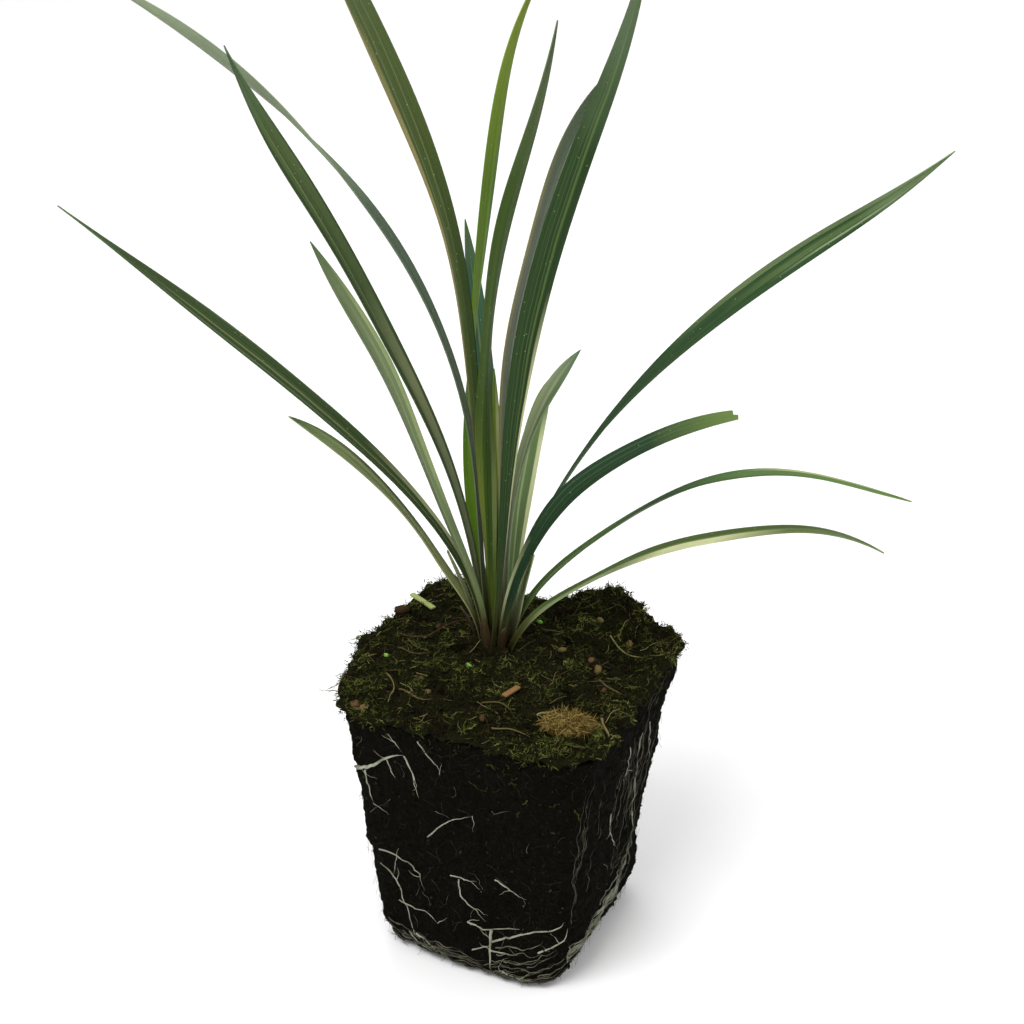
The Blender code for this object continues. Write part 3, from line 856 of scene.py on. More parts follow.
LEAVES: tuple[tuple[Course, LeafFinish], ...] = (
    (
        Course((6.1, 327), (351, 356, 360), (20, 47, 54, 66, 76, 111), (76, 10, 6, -1, -18), 151, 8.1),
        LeafFinish(
            (92, 106, 60), (
                Stripe(0.3, 0.34, PALE, 0.04, 0.5, 0.8), Stripe(0.3, 0.33, CREAM, 0.4, 0.8, 1.0),
                Stripe(0.86, 0.16, (66, 88, 40), 0.1, 1.2, 0.9),
            ), tip=(112, 130, 90), tip_start=0.82,
        ),
    ),
    (
        Course((4.6, 350), (32, 40, 41), (7, 48, 64, 89, 110, 113), (30, -6, -27, -11, -7, 4), 167, 8),
        LeafFinish(
            (80, 110, 56), (
                # The deep green stripe, 0.7 to each side of the middle, covers the whole blade from 0.3
                # to 0.62 of its length. It is a painted shadow across the leaf, not a stripe of it.
                Stripe(0.35, 0.3, PALE, 0.02, 0.32, 0.7), Stripe(0.5, 0.7, DEEP_GREEN, 0.3, 0.62, 0.9),
                Stripe(0.9, 0.1, CREAM, 0.62, 1.1, 0.8), Stripe(0.45, 0.06, PALE, 0.6, 1.0, 0.5),
            ), tip=(122, 148, 78), tip_start=0.7,
        ),
    ),
    (
        Course((5.4, 220), (219, 220, 222), (2, 28, 29, 36, 44, 54), (-38, -21, -10, -18, -39), 112, 8.1),
        LeafFinish(
            (130, 140, 96), (
                Stripe(0.6, 0.4, (160, 166, 106), 0.02, 0.5, 0.8),
                Stripe(0.72, 0.16, CREAM, 0.14, 0.5, 0.6), Stripe(0.42, 0.05, OLIVE, 0.3, 0.9, 0.6),
                Stripe(0.08, 0.1, (78, 92, 50), 0.36, 1.2, 0.9),
                Stripe(0.95, 0.06, (84, 94, 50), 0.4, 0.95, 0.6),
            ), tip=(98, 122, 76), tip_start=0.7, foot=(136, 138, 72),
        ),
    ),
    (
        Course((6.1, 305), (11, 13, 16), (2, 16, 28, 49, 61, 76), (94, 38, 31, 17, 26), 127, 8.1, True),
        LeafFinish(
            (36, 60, 38), (
                Stripe(0.9, 0.14, CREAM, 0.02, 0.36, 0.85), Stripe(0.55, 0.03, GREY_GREEN, 0.3, 1.0, 0.3),
                Stripe(0.3, 0.02, GREY_GREEN, 0.3, 0.95, 0.3),
                Stripe(0.8, 0.03, GREY_GREEN, 0.35, 0.95, 0.35),
                Stripe(0.15, 0.1, DEEP_GREEN, 0.2, 0.9, 0.7),
            ), tip=(118, 142, 74), tip_start=0.78, under_share=0.05,
        ),
    ),
    (
        Course((4.1, 229), (205, 209, 211), (2, 29, 42, 46, 48, 48), (-54, -18, -17, -18, 11), 206, 8.1),
        LeafFinish(
            (56, 74, 40), (
                Stripe(0.52, 0.06, (124, 130, 88), 0.1, 0.9),
                Stripe(0.1, 0.16, CREAM, 0.1, 0.42, 0.6), Stripe(0.9, 0.05, GREY_GREEN, 0.4, 1.2, 0.6),
                Stripe(0.74, 0.06, DEEP_GREEN, 0.3, 0.9, 0.6),
                Stripe(0.3, 0.05, DEEP_GREEN, 0.3, 0.9, 0.5),
                Stripe(0.03, 0.04, GREY_GREEN, 0.4, 1.2, 0.6),
            ), tip=(94, 120, 78),
        ),
    ),
    (
        Course((5.4, 258), (239, 239, 239), (2, 20, 20, 21, 28, 29), (13, 3, 1, 23, 54), 168, 8.1),
        LeafFinish(
            (98, 114, 74), (
                Stripe(0.93, 0.12, (152, 168, 110), 0.34, 1.0),
                Stripe(0.6, 0.04, PALE, 0.1, 0.9, 0.7),
                Stripe(0.45, 0.04, (64, 76, 40), 0.1, 0.9, 0.6),
                Stripe(0.2, 0.05, (60, 70, 40), 0.12, 0.9, 0.6),
                Stripe(0.5, 0.35, (150, 158, 104), 0.1, 0.3, 0.7),
            ), under=PALE, tip=(106, 130, 88), foot=(108, 114, 50),
        ),
    ),
    (
        Course((2.9, 57), (69, 71, 73), (2, 3, 8, 21, 44, 68), (-16, -31, -36, -23, 41), 107, 8.4),
        LeafFinish(
            (130, 142, 106), (
                Stripe(0.5, 0.07, (168, 178, 140), 0.2, 1.1, 0.8),
                Stripe(0.84, 0.14, PALE, 0.3, 0.9, 0.5),
                Stripe(0.15, 0.16, (92, 120, 80), 0.4, 1.2, 0.8),
                Stripe(0.36, 0.03, GREY_GREEN, 0.2, 1.1, 0.6),
            ), tip=(118, 150, 118),
        ),
    ),
    (
        Course((3.6, 337), (48, 49, 52), (2, 29, 47, 60, 68, 62), (4, -32, -18, 20, 62, 97), 232, 7.5),
        LeafFinish(
            (44, 70, 38), (
                Stripe(0.9, 0.12, (112, 130, 88), 0.5, 1.2, 0.8),
                Stripe(0.5, 0.16, (98, 122, 74), 0.58, 1.2, 0.7),
                Stripe(0.25, 0.06, (150, 166, 128), 0.66, 1.0, 0.9),
                Stripe(0.62, 0.03, DEEP_GREEN, 0.4, 0.95, 0.6),
                Stripe(0.36, 0.02, GREY_GREEN, 0.2, 0.7, 0.4),
            ), tip=(138, 160, 114), tip_start=0.82,
        ),
    ),
    (
        Course((4.6, 183), (184, 187, 189), (2, 13, 25, 28, 32, 24), (-14, -1, -7, -28, -121), 213, 8.3),
        LeafFinish(
            (72, 88, 52), (
                Stripe(0.4, 0.26, (146, 154, 112), 0.02, 0.6, 0.9),
                Stripe(0.66, 0.03, PALE, 0.2, 0.9, 0.5),
                Stripe(0.05, 0.06, (62, 82, 50), 0.4, 1.0, 0.8),
                Stripe(0.93, 0.08, DEEP_GREEN, 0.2, 1.2, 0.6),
                Stripe(0.55, 0.02, DEEP_GREEN, 0.2, 1.0, 0.6),
            ), tip=(92, 116, 84), tip_start=0.84, foot=(132, 140, 82),
        ),
    ),
    (
        Course((2.6, 190), (171, 180, 185), (7, 4, 22, 42, 55, 68), (6, 13, 18, 15, 58, 88), 264, 8),
        LeafFinish(
            (80, 96, 76), (
                Stripe(0.93, 0.08, (116, 130, 92), 0.12, 0.5, 0.8),
                Stripe(0.3, 0.16, (120, 130, 92), 0.1, 0.4, 0.6),
                Stripe(0.45, 0.05, DEEP_GREEN, 0.1, 0.6, 0.5),
                Stripe(0.5, 0.6, (142, 156, 122), 0.58, 1.3, 0.8),
            ),
            under=(146, 160, 126), under_share=0.6, tip=(156, 170, 136),
            foot=(116, 122, 60),
        ),
    ),
    (
        Course((6.1, 279), (330, 331, 334), (10, 6, 13, 22, 25, 12), (23, 1, -36, -65, -108), 266, 7.5),
        LeafFinish(
            (42, 64, 32), (
                Stripe(0.97, 0.12, CREAM, 0.04, 0.52, 1.0),
                Stripe(0.66, 0.05, (92, 116, 60), 0.2, 1.0, 0.8),
                Stripe(0.52, 0.02, (100, 122, 74), 0.15, 0.95, 0.7),
                Stripe(0.36, 0.015, LIGHT_GREEN, 0.1, 0.9, 0.7),
                Stripe(0.2, 0.015, LIGHT_GREEN, 0.1, 0.8, 0.5),
                Stripe(0.8, 0.02, DEEP_GREEN, 0.3, 0.9, 0.7),
                Stripe(0.44, 0.02, DEEP_GREEN, 0.1, 0.9, 0.7),
            ), under_share=0.0, tip=(112, 130, 98), tip_start=0.72, foot=(84, 92, 46),
        ),
    ),
    (
        Course((3.7, 286), (231, 309, 369), (4, 3, 13, 13, 19, 9), (-2, 25, 51, 0, -18), 224, 7.9),
        LeafFinish(
            (56, 80, 22), (
                Stripe(0.12, 0.2, (118, 132, 54), 0.04, 0.42, 0.9),
                Stripe(0.88, 0.16, (130, 144, 84), 0.1, 0.44, 0.9),
                Stripe(0.5, 0.03, DEEP_GREEN, 0.1, 0.8, 0.7), Stripe(0.3, 0.02, LIME, 0.3, 0.8, 0.5),
            ), under_share=0.05, tip=(108, 120, 90), tip_start=0.78, foot=(108, 122, 44),
        ),
    ),
    (
        Course((1.7, 249), (231, 229, 228), (2, 5, 6, 19, 24, 22), (29, 6, 17, 73, 93), 286, 8.2),
        LeafFinish(
            (62, 76, 30), (
                Stripe(0.1, 0.13, TAN, 0.24, 0.8, 0.95), Stripe(0.03, 0.05, TAN, 0.6, 1.1, 0.9),
                Stripe(0.86, 0.18, (42, 62, 20), 0.05, 0.62, 0.9),
                Stripe(0.35, 0.03, GREY_GREEN, 0.3, 1.1, 0.7), Stripe(0.62, 0.025, PALE, 0.45, 1.1, 0.4),
                Stripe(0.5, 0.02, DEEP_GREEN, 0.2, 1.1, 0.5),
                Stripe(0.22, 0.02, DEEP_GREEN, 0.3, 1.1, 0.5),
            ), under_share=0.05, tip=(94, 108, 72), tip_start=0.62,
        ),
    ),
    (
        Course((2.2, 319), (360, 354, 348), (2, 1, 2, 14, 19, 41), (15, 12, 9, -2, -40), 210, 8),
        LeafFinish(
            (92, 100, 84), (
                Stripe(0.04, 0.08, TAN, 0.1, 0.95, 0.8), Stripe(0.5, 0.06, GREY_GREEN, 0.1, 0.9, 0.6),
                Stripe(0.97, 0.05, CREAM, 0.66, 1.1), Stripe(0.7, 0.1, BLUE_GREEN, 0.6, 1.2, 0.7),
            ), under_share=0.1, tip=(72, 94, 64), tip_start=0.75,
        ),
    ),
    (
        Course((1.4, 84), (159, 88, 19), (23, 20, 16, 10, 10, 28), (-36, -56, -76, -65, -33), 223, 8),
        LeafFinish(
            (80, 112, 22), (
                Stripe(0.85, 0.18, (62, 98, 16), 0.2, 0.8, 0.8),
                Stripe(0.5, 0.03, LIME, 0.3, 1.0, 0.7),
                Stripe(0.2, 0.14, (102, 124, 50), 0.3, 1.2, 0.7),
            ), under_share=0.0, tip=(138, 154, 60), tip_start=0.7,
        ),
    ),
    (
        Course((3.4, 114), (119, 122), (16, 30, 48, 60), (0, 15, 30), 150, 7.8),
        LeafFinish(
            BLUE_GREEN, (
                Stripe(0.95, 0.1, CREAM, 0.1, 0.6), Stripe(0.5, 0.05, GREY_GREEN, 0.1, 1.0, 0.7),
            ),
        ),
    ),
    (
        Course((4.7, 65), (108, 104), (34, 60, 76, 92), (0, -10, 15), 124, 7.4),
        LeafFinish(LIGHT_GREEN, (Stripe(0.08, 0.12, CREAM, 0.0, 0.8), Stripe(0.6, 0.05, PALE, 0.1, 1.0))),
    ),
    (
        Course((0.8, 44), (120, 126), (2, 4, 6, 9), (0, 30, 40), 96, 4.6),
        LeafFinish(LIME, (Stripe(0.3, 0.2, CREAM, 0.2, 1.2, 0.5),), tip=LIME),
    ),
)

OLD_BASES: tuple[tuple[Course, LeafFinish], ...] = (
    (
        Course((4.4, 352), (24, 24), (4, 12, 22), (70, 40, 20), 37, 6.4, True),
        LeafFinish(PALE, (Stripe(0.7, 0.2, CREAM, 0.3, 1.2, 0.8),), foot_end=0.5, tip=CREAM),
    ),
    (
        Course((4.6, 196), (204, 206), (12, 18, 22), (10, 0, 10), 37, 6.0, True),
        LeafFinish((128, 132, 84), (Stripe(0.3, 0.2, PALE),), foot_end=0.5, tip=PALE),
    ),
    (Course((6.2, 262), (262, 262), (4, 12), (10, 0), 15, 3.6), SHEATH),
    (Course((6.6, 306), (310, 314), (6, 30), (20, 0), 14, 3.2), SHEATH),
    (Course((6.2, 200), (200, 196), (8, 34), (0, 20), 16, 3.4), SHEATH),
)


class Crown:
    """All leaves, from the outer ones to the inner ones, and the old bases at their feet."""

    def build(self) -> list[bpy.types.Object]:
        """Build every leaf.

        Returns:
            The leaves, in order.
        """
        blade = Blade()
        made = [
            Leaf(f"{kind}_{number:02d}", run, dress).build(blade)
            for kind, table in (("leaf", LEAVES), ("old_base", OLD_BASES))
            for number, (run, dress) in enumerate(table, 1)
        ]
        blade.clear()
        return made


# Scattered pieces


@dataclass
class Ground:
    """A surface that small things are scattered on.

    corner_gap is how far in millimetres rays stay from the ball's corners. far and above are
    where rays start, and level is about the height of the mat.
    """

    thing: bpy.types.Object
    corner_gap: float = 3.0
    far: float = 90 * MM
    above: float = 200 * MM
    level: float = 98 * MM
    tree: BVHTree = field(init=False)
    corners: np.ndarray = field(init=False)
    normals: np.ndarray = field(init=False)
    areas: np.ndarray = field(init=False)

    def __post_init__(self) -> None:
        """Read the triangles of the surface."""
        places, faces = Hand.read(self.thing.data)
        self.corners = places[faces]
        cross = np.cross(
            self.corners[:, 1] - self.corners[:, 0], self.corners[:, 2] - self.corners[:, 0]
        )
        size = np.linalg.norm(cross, axis=1)
        self.areas = size / 2
        self.normals = cross / np.maximum(size, 1e-15)[:, None]
        self.tree = BVHTree.FromPolygons([Vector(place) for place in places], faces.tolist())

    def spots(
        self, count: int, rng: np.random.Generator, weight: Callable[[np.ndarray, np.ndarray], np.ndarray]
    ) -> tuple[np.ndarray, np.ndarray]:
        """Pick places on the surface.

        Args:
            count: How many.
            rng: The source of chance.
            weight: Gives each triangle's weight from its middle and its normal.

        Returns:
            The places and the normals there.
        """
        middles = self.corners.mean(axis=1)
        chance = self.areas * weight(middles, self.normals)
        picked = rng.choice(len(chance), size=count, p=chance / chance.sum())
        first, second = rng.random((2, count, 1))
        over = (first + second) > 1
        first = np.where(over, 1 - first, first)
        second = np.where(over, 1 - second, second)
        corner = self.corners[picked]
        places = corner[:, 0] + first * (corner[:, 1] - corner[:, 0])
        places += second * (corner[:, 2] - corner[:, 0])
        return places, self.normals[picked]

    def on_side(self, side: Side, along: float, height: float) -> tuple[Vector, Vector]:
        """The point on a side of the ball, and the way out of it.

        Args:
            side: The side.
            along: Distance along the side from its middle, in millimetres.
            height: Height above the floor, in millimetres.

        Returns:
            The point and the outward direction of the surface there.
        """
        turn = math.radians(side.value)
        outwards = Vector((math.sin(turn), -math.cos(turn), 0.0))
        sideways = Vector((math.cos(turn), math.sin(turn), 0.0))
        reach = BALL_HALF - self.corner_gap + BALL_TAPER * height
        along = within(along, -reach, reach)
        start = sideways * along * MM + outwards * self.far + Vector((0.0, 0.0, height * MM))
        hit, normal, _, _ = self.tree.ray_cast(start, -outwards)
        if hit is None:
            hit, normal, _, _ = self.tree.find_nearest(start - outwards * self.far / 2)
        return hit, normal

    def from_above(self, x: float, y: float) -> tuple[Vector, Vector]:
        """The point of the surface under a place in millimetres, and its normal."""
        start = Vector((x * MM, y * MM, self.above))
        hit, normal, _, _ = self.tree.ray_cast(start, Vector((0.0, 0.0, -1.0)))
        if hit is None:
            hit, normal, _, _ = self.tree.find_nearest(Vector((x * MM, y * MM, self.level)))
        return hit, normal


@dataclass
class Litter:
    """Copies of a few small masters, joined into one mesh."""

    name: str
    finish: bpy.types.Material
    slot: str
    verts: list[np.ndarray] = field(default_factory=list)
    faces: list[np.ndarray] = field(default_factory=list)
    tones: list[np.ndarray] = field(default_factory=list)
    count: int = 0

    def lay(
        self, master: bpy.types.Object, places: np.ndarray, frames: np.ndarray, tones: np.ndarray
    ) -> None:
        """Lay copies of a master.

        Args:
            master: The small mesh, of triangles.
            places: Where each copy stands, N by 3.
            frames: Each copy's scaled axes as rows, N by 3 by 3.
            tones: Each copy's tone.
        """
        co, faces = Hand.read(master.data)
        made = np.einsum("vk,nkj->nvj", co, frames) + places[:, None, :]
        step = self.count + np.arange(len(places)) * len(co)
        self.verts.append(made.reshape(-1, 3))
        self.faces.append((faces[None] + step[:, None, None]).reshape(-1, 3))
        self.tones.append(np.repeat(tones, len(co)))
        self.count += len(places) * len(co)

    def build(self, floor: float = 0.2 * MM) -> bpy.types.Object:
        """Join all copies into one object that rides on the plant.

        Args:
            floor: No vertex is lower than this.

        Returns:
            The object.
        """
        verts = np.concatenate(self.verts)
        verts[:, 2] = np.maximum(verts[:, 2], floor)
        faces = np.concatenate(self.faces)
        mesh = bpy.data.meshes.new(self.name)
        mesh.vertices.add(len(verts))
        mesh.vertices.foreach_set("co", verts.ravel())
        mesh.loops.add(faces.size)
        mesh.loops.foreach_set("vertex_index", faces.ravel())
        mesh.polygons.add(len(faces))
        mesh.polygons.foreach_set("loop_start", np.arange(0, faces.size, 3))
        mesh.update(calc_edges=True)
        layer = mesh.attributes.new("tone", "FLOAT", "POINT")
        layer.data.foreach_set("value", np.concatenate(self.tones).astype(np.float32))
        mesh.materials.append(self.finish)
        mesh.shade_smooth()
        made = Hand.new(self.name, mesh)
        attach(made, BODY)
        return made


@dataclass(frozen=True)
class Growth:
    """How long and thick scattered copies are, in millimetres.

    Both are given as the least, the most that chance adds, and the power of that chance.
    """

    length: tuple[float, float, float]
    thick: tuple[float, float, float]

    def draw(self, rng: np.random.Generator, count: int) -> tuple[np.ndarray, np.ndarray]:
        """Draw the sizes of some copies.

        Args:
            rng: The source of chance.
            count: How many copies.

        Returns:
            Their lengths and their thicknesses, in metres.
        """
        return tuple(
            (least + more * rng.random(count) ** power) * MM
            for least, more, power in (self.length, self.thick)
        )


def facing_up(least: float) -> Callable[[np.ndarray, np.ndarray], np.ndarray]:
    """A weight for Ground.spots: 1 where the normal rises by more than least, else 0."""
    return lambda middles, normals: (normals[:, 2] > least).astype(float)


def frames_on(
    normals: np.ndarray, rng: np.random.Generator, rise: np.ndarray, sizes: np.ndarray
) -> np.ndarray:
    """Axes for copies whose long axis X runs along the surface and rises from it.

    Args:
        normals: The surface's normals, N by 3.
        rng: The source of chance for the direction along the surface.
        rise: The angle of X above the surface, in radians.
        sizes: The scale of each axis, N by 3.

    Returns:
        The scaled axes as rows, N by 3 by 3.
    """
    free = rng.normal(size=normals.shape)
    flat = free - (free * normals).sum(1, keepdims=True) * normals
    flat /= np.linalg.norm(flat, axis=1, keepdims=True)
    long = flat * np.cos(rise)[:, None] + normals * np.sin(rise)[:, None]
    side = np.cross(normals, flat)
    up = np.cross(long, side)
    return np.stack([long, side, up], axis=1) * sizes[:, :, None]


class Masters:
    """The small shapes that are copied hundreds of times, each modelled once."""

    @staticmethod
    def triangles(thing: bpy.types.Object, name: str) -> bpy.types.Object:
        """Apply the object's place, cut its faces to triangles and name it."""
        Hand.edit(thing)
        bpy.ops.mesh.quads_convert_to_tris()
        bpy.ops.mesh.normals_make_consistent(inside=False)
        Hand.close()
        bpy.ops.object.transform_apply(location=True, rotation=True, scale=True)
        thing.name = name
        return thing

    @staticmethod
    def spine(start: float, end: float) -> bpy.types.Object:
        """A three-sided cone along X from 0 to 1, with a radius at each end."""
        Hand.deselect()
        bpy.ops.mesh.primitive_cone_add(
            vertices=3, radius1=start, radius2=end, depth=1.0, location=(0.5, 0.0, 0.0),
            rotation=(0.0, math.pi / 2, 0.0),
        )
        bpy.ops.object.transform_apply(location=True, rotation=True, scale=True)
        return bpy.context.object

    @staticmethod
    def needle(bend: float) -> bpy.types.Object:
        """A pointed three-sided needle along X from 0 to 1, bent upwards.

        Args:
            bend: How far its tip has risen, as a share of its length.

        Returns:
            The master.
        """
        thing = Masters.spine(0.5, 0.0)
        Hand.edit(thing)
        bpy.ops.mesh.bisect(plane_co=(0.55, 0.0, 0.0), plane_no=(1.0, 0.0, 0.0))
        Hand.pick(thing, lambda co: 0.5 < co.x < 0.6)
        bpy.ops.transform.resize(value=(1.0, 1.5, 1.5), center_override=(0.55, 0.0, 0.0))
        bpy.ops.transform.translate(value=(0.0, 0.0, 0.25 * bend))
        Hand.pick(thing, lambda co: co.x > 0.9)
        bpy.ops.transform.translate(value=(0.0, 0.0, bend))
        return Masters.triangles(thing, "needle_master")

    @staticmethod
    def thread(sway: Sequence[float]) -> bpy.types.Object:
        """A thin three-sided thread along X from 0 to 1, with a side step at each ring.

        Args:
            sway: How far each ring lies to the side, as shares of the length.

        Returns:
            The master.
        """
        Hand.deselect()
        bpy.ops.mesh.primitive_circle_add(
            vertices=3, radius=0.5, fill_type="NGON", rotation=(0.0, math.pi / 2, 0.0)
        )
        thing = bpy.context.object
        bpy.ops.object.transform_apply(rotation=True)
        Hand.edit(thing)
        rings = len(sway)
        for _ in sway:
            bpy.ops.mesh.extrude_region_move(TRANSFORM_OT_translate={"value": (1.0 / rings, 0.0, 0.0)})
        for ring, aside in enumerate(sway, 1):
            Hand.pick(thing, lambda co: abs(co.x - ring / rings) < 0.2 / rings)
            bpy.ops.transform.translate(value=(0.0, aside, 0.0))
            left = 1.0 - 0.5 * ring / rings
            bpy.ops.transform.resize(
                value=(1.0, left, left), center_override=(ring / rings, aside, 0.0)
            )
        return Masters.triangles(thing, "thread_master")

    @staticmethod
    def sprig(bend: float, leaflets: int = 10) -> bpy.types.Object:
        """A moss sprig along X from 0 to 1: a thin spine with pointed leaflets all round it.

        Args:
            bend: How far its middle lies to the side, as a share of its width.
            leaflets: How many leaflets it has.

        Returns:
            The master, about one across.
        """
        parts = [Masters.spine(0.09, 0.03)]
        golden = math.pi * (3.0 - math.sqrt(5.0))
        for index in range(leaflets):
            spot = Vector((0.04 + 0.86 * index / leaflets, 0.0, 0.0))
            size = 0.55 - 0.25 * index / leaflets
            turn = golden * index
            tip = Vector((0.15, size * math.cos(turn), size * math.sin(turn)))
            bpy.ops.mesh.primitive_cone_add(
                vertices=3, radius1=0.085, radius2=0.0, depth=tip.length,
                location=spot + tip / 2, rotation=tip.to_track_quat("Z", "Y").to_euler(),
            )
            parts.append(bpy.context.object)
        for part in parts:
            Hand.take(part)
            bpy.ops.object.transform_apply(location=True, rotation=True, scale=True)
        thing = Hand.join(parts, "sprig_master")
        Hand.edit(thing)
        bpy.ops.mesh.bisect(plane_co=(0.5, 0.0, 0.0), plane_no=(1.0, 0.0, 0.0))
        Hand.pick(thing, lambda co: co.x > 0.3)
        bpy.ops.transform.translate(value=(0.0, bend * 0.5, 0.0))
        Hand.pick(thing, lambda co: co.x > 0.66)
        bpy.ops.transform.translate(value=(0.0, -bend, 0.0))
        return Masters.triangles(thing, "sprig_master")

    @staticmethod
    def crumb(squash: tuple[float, float, float]) -> bpy.types.Object:
        """An angular crumb about one across.

        Args:
            squash: Its three half sizes.

        Returns:
            The master.
        """
        Hand.deselect()
        bpy.ops.mesh.primitive_ico_sphere_add(subdivisions=1, radius=1.0)
        thing = bpy.context.object
        bpy.ops.object.mode_set(mode="EDIT")
        Hand.pick(thing, lambda co: co.x > 0.5)
        bpy.ops.transform.translate(value=(0.18, 0.1, -0.22))
        Hand.pick(thing, lambda co: co.z < -0.3 and co.y > 0)
        bpy.ops.transform.resize(value=(0.8, 1.2, 0.8))
        bpy.ops.mesh.select_all(action="SELECT")
        bpy.ops.transform.resize(value=squash)
        return Masters.triangles(thing, "crumb_master")


# Root ball


@dataclass
class RootBall:
    """The block of peat with its crumbs and fibres.

    crumb_size is the smallest crumb and the most that chance adds to it.
    Each relief is a texture's name and type, the size of its features and its depth.
    """

    voxel: float = 1.0 * MM
    seat: float = 1.5 * MM
    crumbs: int = 3600
    crumb_size: tuple[float, float] = (0.28 * MM, 0.5 * MM)
    crumb_shapes: tuple[tuple[float, float, float], ...] = (
        (1.0, 0.8, 0.6), (0.7, 1.0, 0.75), (1.3, 0.55, 0.5),
    )
    fibres: int = 3200
    fibre_sways: tuple[tuple[float, ...], ...] = (
        (0.04, 0.1, 0.1, 0.02), (-0.05, -0.02, 0.06, 0.05), (0.1, 0.26, 0.34, 0.3),
    )
    fibre_growth: Growth = Growth((2.0, 4.5, 2.0), (0.07, 0.09, 1.0))
    fibre_lift: float = 0.15 * MM
    reliefs: tuple[tuple[str, str, float, float], ...] = (
        ("bites", "CLOUDS", 9 * MM, 2.2 * MM),
        ("lumps", "VORONOI", 3.2 * MM, 1.5 * MM),
        ("crumble", "CLOUDS", 1.3 * MM, 0.9 * MM),
    )
    seed: int = 11

    def rough(self, thing: bpy.types.Object, name: str, kind: str, size: float, depth: float) -> None:
        """Displace a mesh with a procedural texture.

        Args:
            thing: The object.
            name: The texture's name.
            kind: The texture's type.
            size: The size of its features in metres.
            depth: The height of the relief in metres.
        """
        texture = bpy.data.textures.new(name, kind)
        texture.noise_scale = size
        relief = thing.modifiers.new(name, "DISPLACE")
        relief.texture = texture
        relief.texture_coords = "LOCAL"
        relief.strength = depth
        relief.mid_level = 0.5
        relief.vertex_group = "rough"

    def peat(self, frame: dict[str, Any]) -> bpy.types.Object:
        """The block: a finer skin over the solid's shape, made crumbly.


        Returns:
            The block.
        """
        block = Hand.copy_of_node(frame, "root_ball")
        Hand.reskin(block, self.voxel)
        group = block.vertex_groups.new(name="rough")
        above = [vert.index for vert in block.data.vertices if vert.co.z > self.seat]
        group.add(above, 1.0, "REPLACE")
        for relief in self.reliefs:
            self.rough(block, *relief)
        Hand.finish(block, "peat_block", 80.0)
        block.data.materials.append(SoilFinish.peat())
        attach(block, BODY)
        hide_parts("root_ball")
        return block

    def scatter(self, ground: Ground) -> list[bpy.types.Object]:
        """Crumbs and fibres over the block's sides.

        Args:
            ground: The block's surface.

        Returns:
            The two joined meshes.
        """
        rng = np.random.default_rng(self.seed)
        stops = (
            (0.0, (0.0025, 0.0022, 0.0016)),
            (0.5, (0.0075, 0.0065, 0.0045)),
            (0.85, (0.024, 0.020, 0.013)),
            (1.0, (0.060, 0.050, 0.032)),
        )

        def sides(middles: np.ndarray, normals: np.ndarray) -> np.ndarray:
            """Weight the sides, more so near the lower edge."""
            low = 1.0 + 1.2 * np.exp(-middles[:, 2] / (12 * MM))
            return np.where(np.abs(normals[:, 2]) < 0.8, low, 0.1) * (middles[:, 2] > 1 * MM)

        crumbs = Litter("peat_crumbs", SoilFinish.toned("peat crumbs", stops), "peat")
        for squash in self.crumb_shapes:
            count = self.crumbs // len(self.crumb_shapes)
            places, normals = ground.spots(count, rng, sides)
            size = self.crumb_size[0] + self.crumb_size[1] * rng.random(count) ** 2.2
            frames = frames_on(normals, rng, rng.normal(0, 0.4, count), size[:, None] * np.ones(3))
            master = Masters.crumb(squash)
            crumbs.lay(master, places, frames, 0.85 * rng.random(count) ** 2.4)
            bpy.data.objects.remove(master)
        threads = Litter("peat_fibres", SoilFinish.toned("peat fibres", stops), "peat")
        for sway in self.fibre_sways:
            count = self.fibres // len(self.fibre_sways)
            places, normals = ground.spots(count, rng, sides)
            length, thick = self.fibre_growth.draw(rng, count)
            sizes = np.stack([length, length, thick], axis=1)
            frames = frames_on(self.outwards(places), rng, rng.normal(0.0, 0.04, count), sizes)
            master = Masters.thread(sway)
            self.thin(master, thick.mean() / length.mean())
            tones = 0.25 + 0.75 * rng.random(count)
            threads.lay(master, places + normals * self.fibre_lift, frames, tones)
            bpy.data.objects.remove(master)
        return [crumbs.build(), threads.build()]

    @staticmethod
    def outwards(places: np.ndarray) -> np.ndarray:
        """The outward directions of the smooth ball, without its crumbs.

        Args:
            places: Places near its sides, N by 3.

        Returns:
            The unit directions, which lie level.
        """
        flat = places[:, :2] / (BALL_HALF * MM + BALL_TAPER * places[:, 2:3])
        squareness = 8
        ways = np.sign(flat) * np.abs(flat) ** squareness
        ways = np.concatenate([ways, np.zeros((len(places), 1))], axis=1)
        return ways / np.linalg.norm(ways, axis=1, keepdims=True)

    @staticmethod
    def thin(master: bpy.types.Object, share: float) -> None:
        """Make a thread's section narrow in the direction in which it sways.

        Args:
            master: The thread.
            share: The share of its width that is left.
        """
        Hand.take(master)
        bpy.ops.object.mode_set(mode="EDIT")
        mesh = bmesh.from_edit_mesh(master.data)
        places = sorted({round(vert.co.x, 3) for vert in mesh.verts})
        for place in places:
            ring = [vert for vert in mesh.verts if abs(vert.co.x - place) < 0.01]
            middle = sum(vert.co.y for vert in ring) / len(ring)
            Hand.pick(master, lambda co: abs(co.x - place) < 0.01)
            bpy.ops.transform.resize(value=(1.0, share, 1.0), center_override=(place, middle, 0.0))
            mesh = bmesh.from_edit_mesh(master.data)
        Hand.close()


@dataclass(frozen=True)
class Bundle:
    """Many fine roots that run the same way. spread and radius are millimetres."""

    side: Side
    route: tuple[tuple[float, float], ...]
    spread: float
    count: int
    radius: float
    tone: float


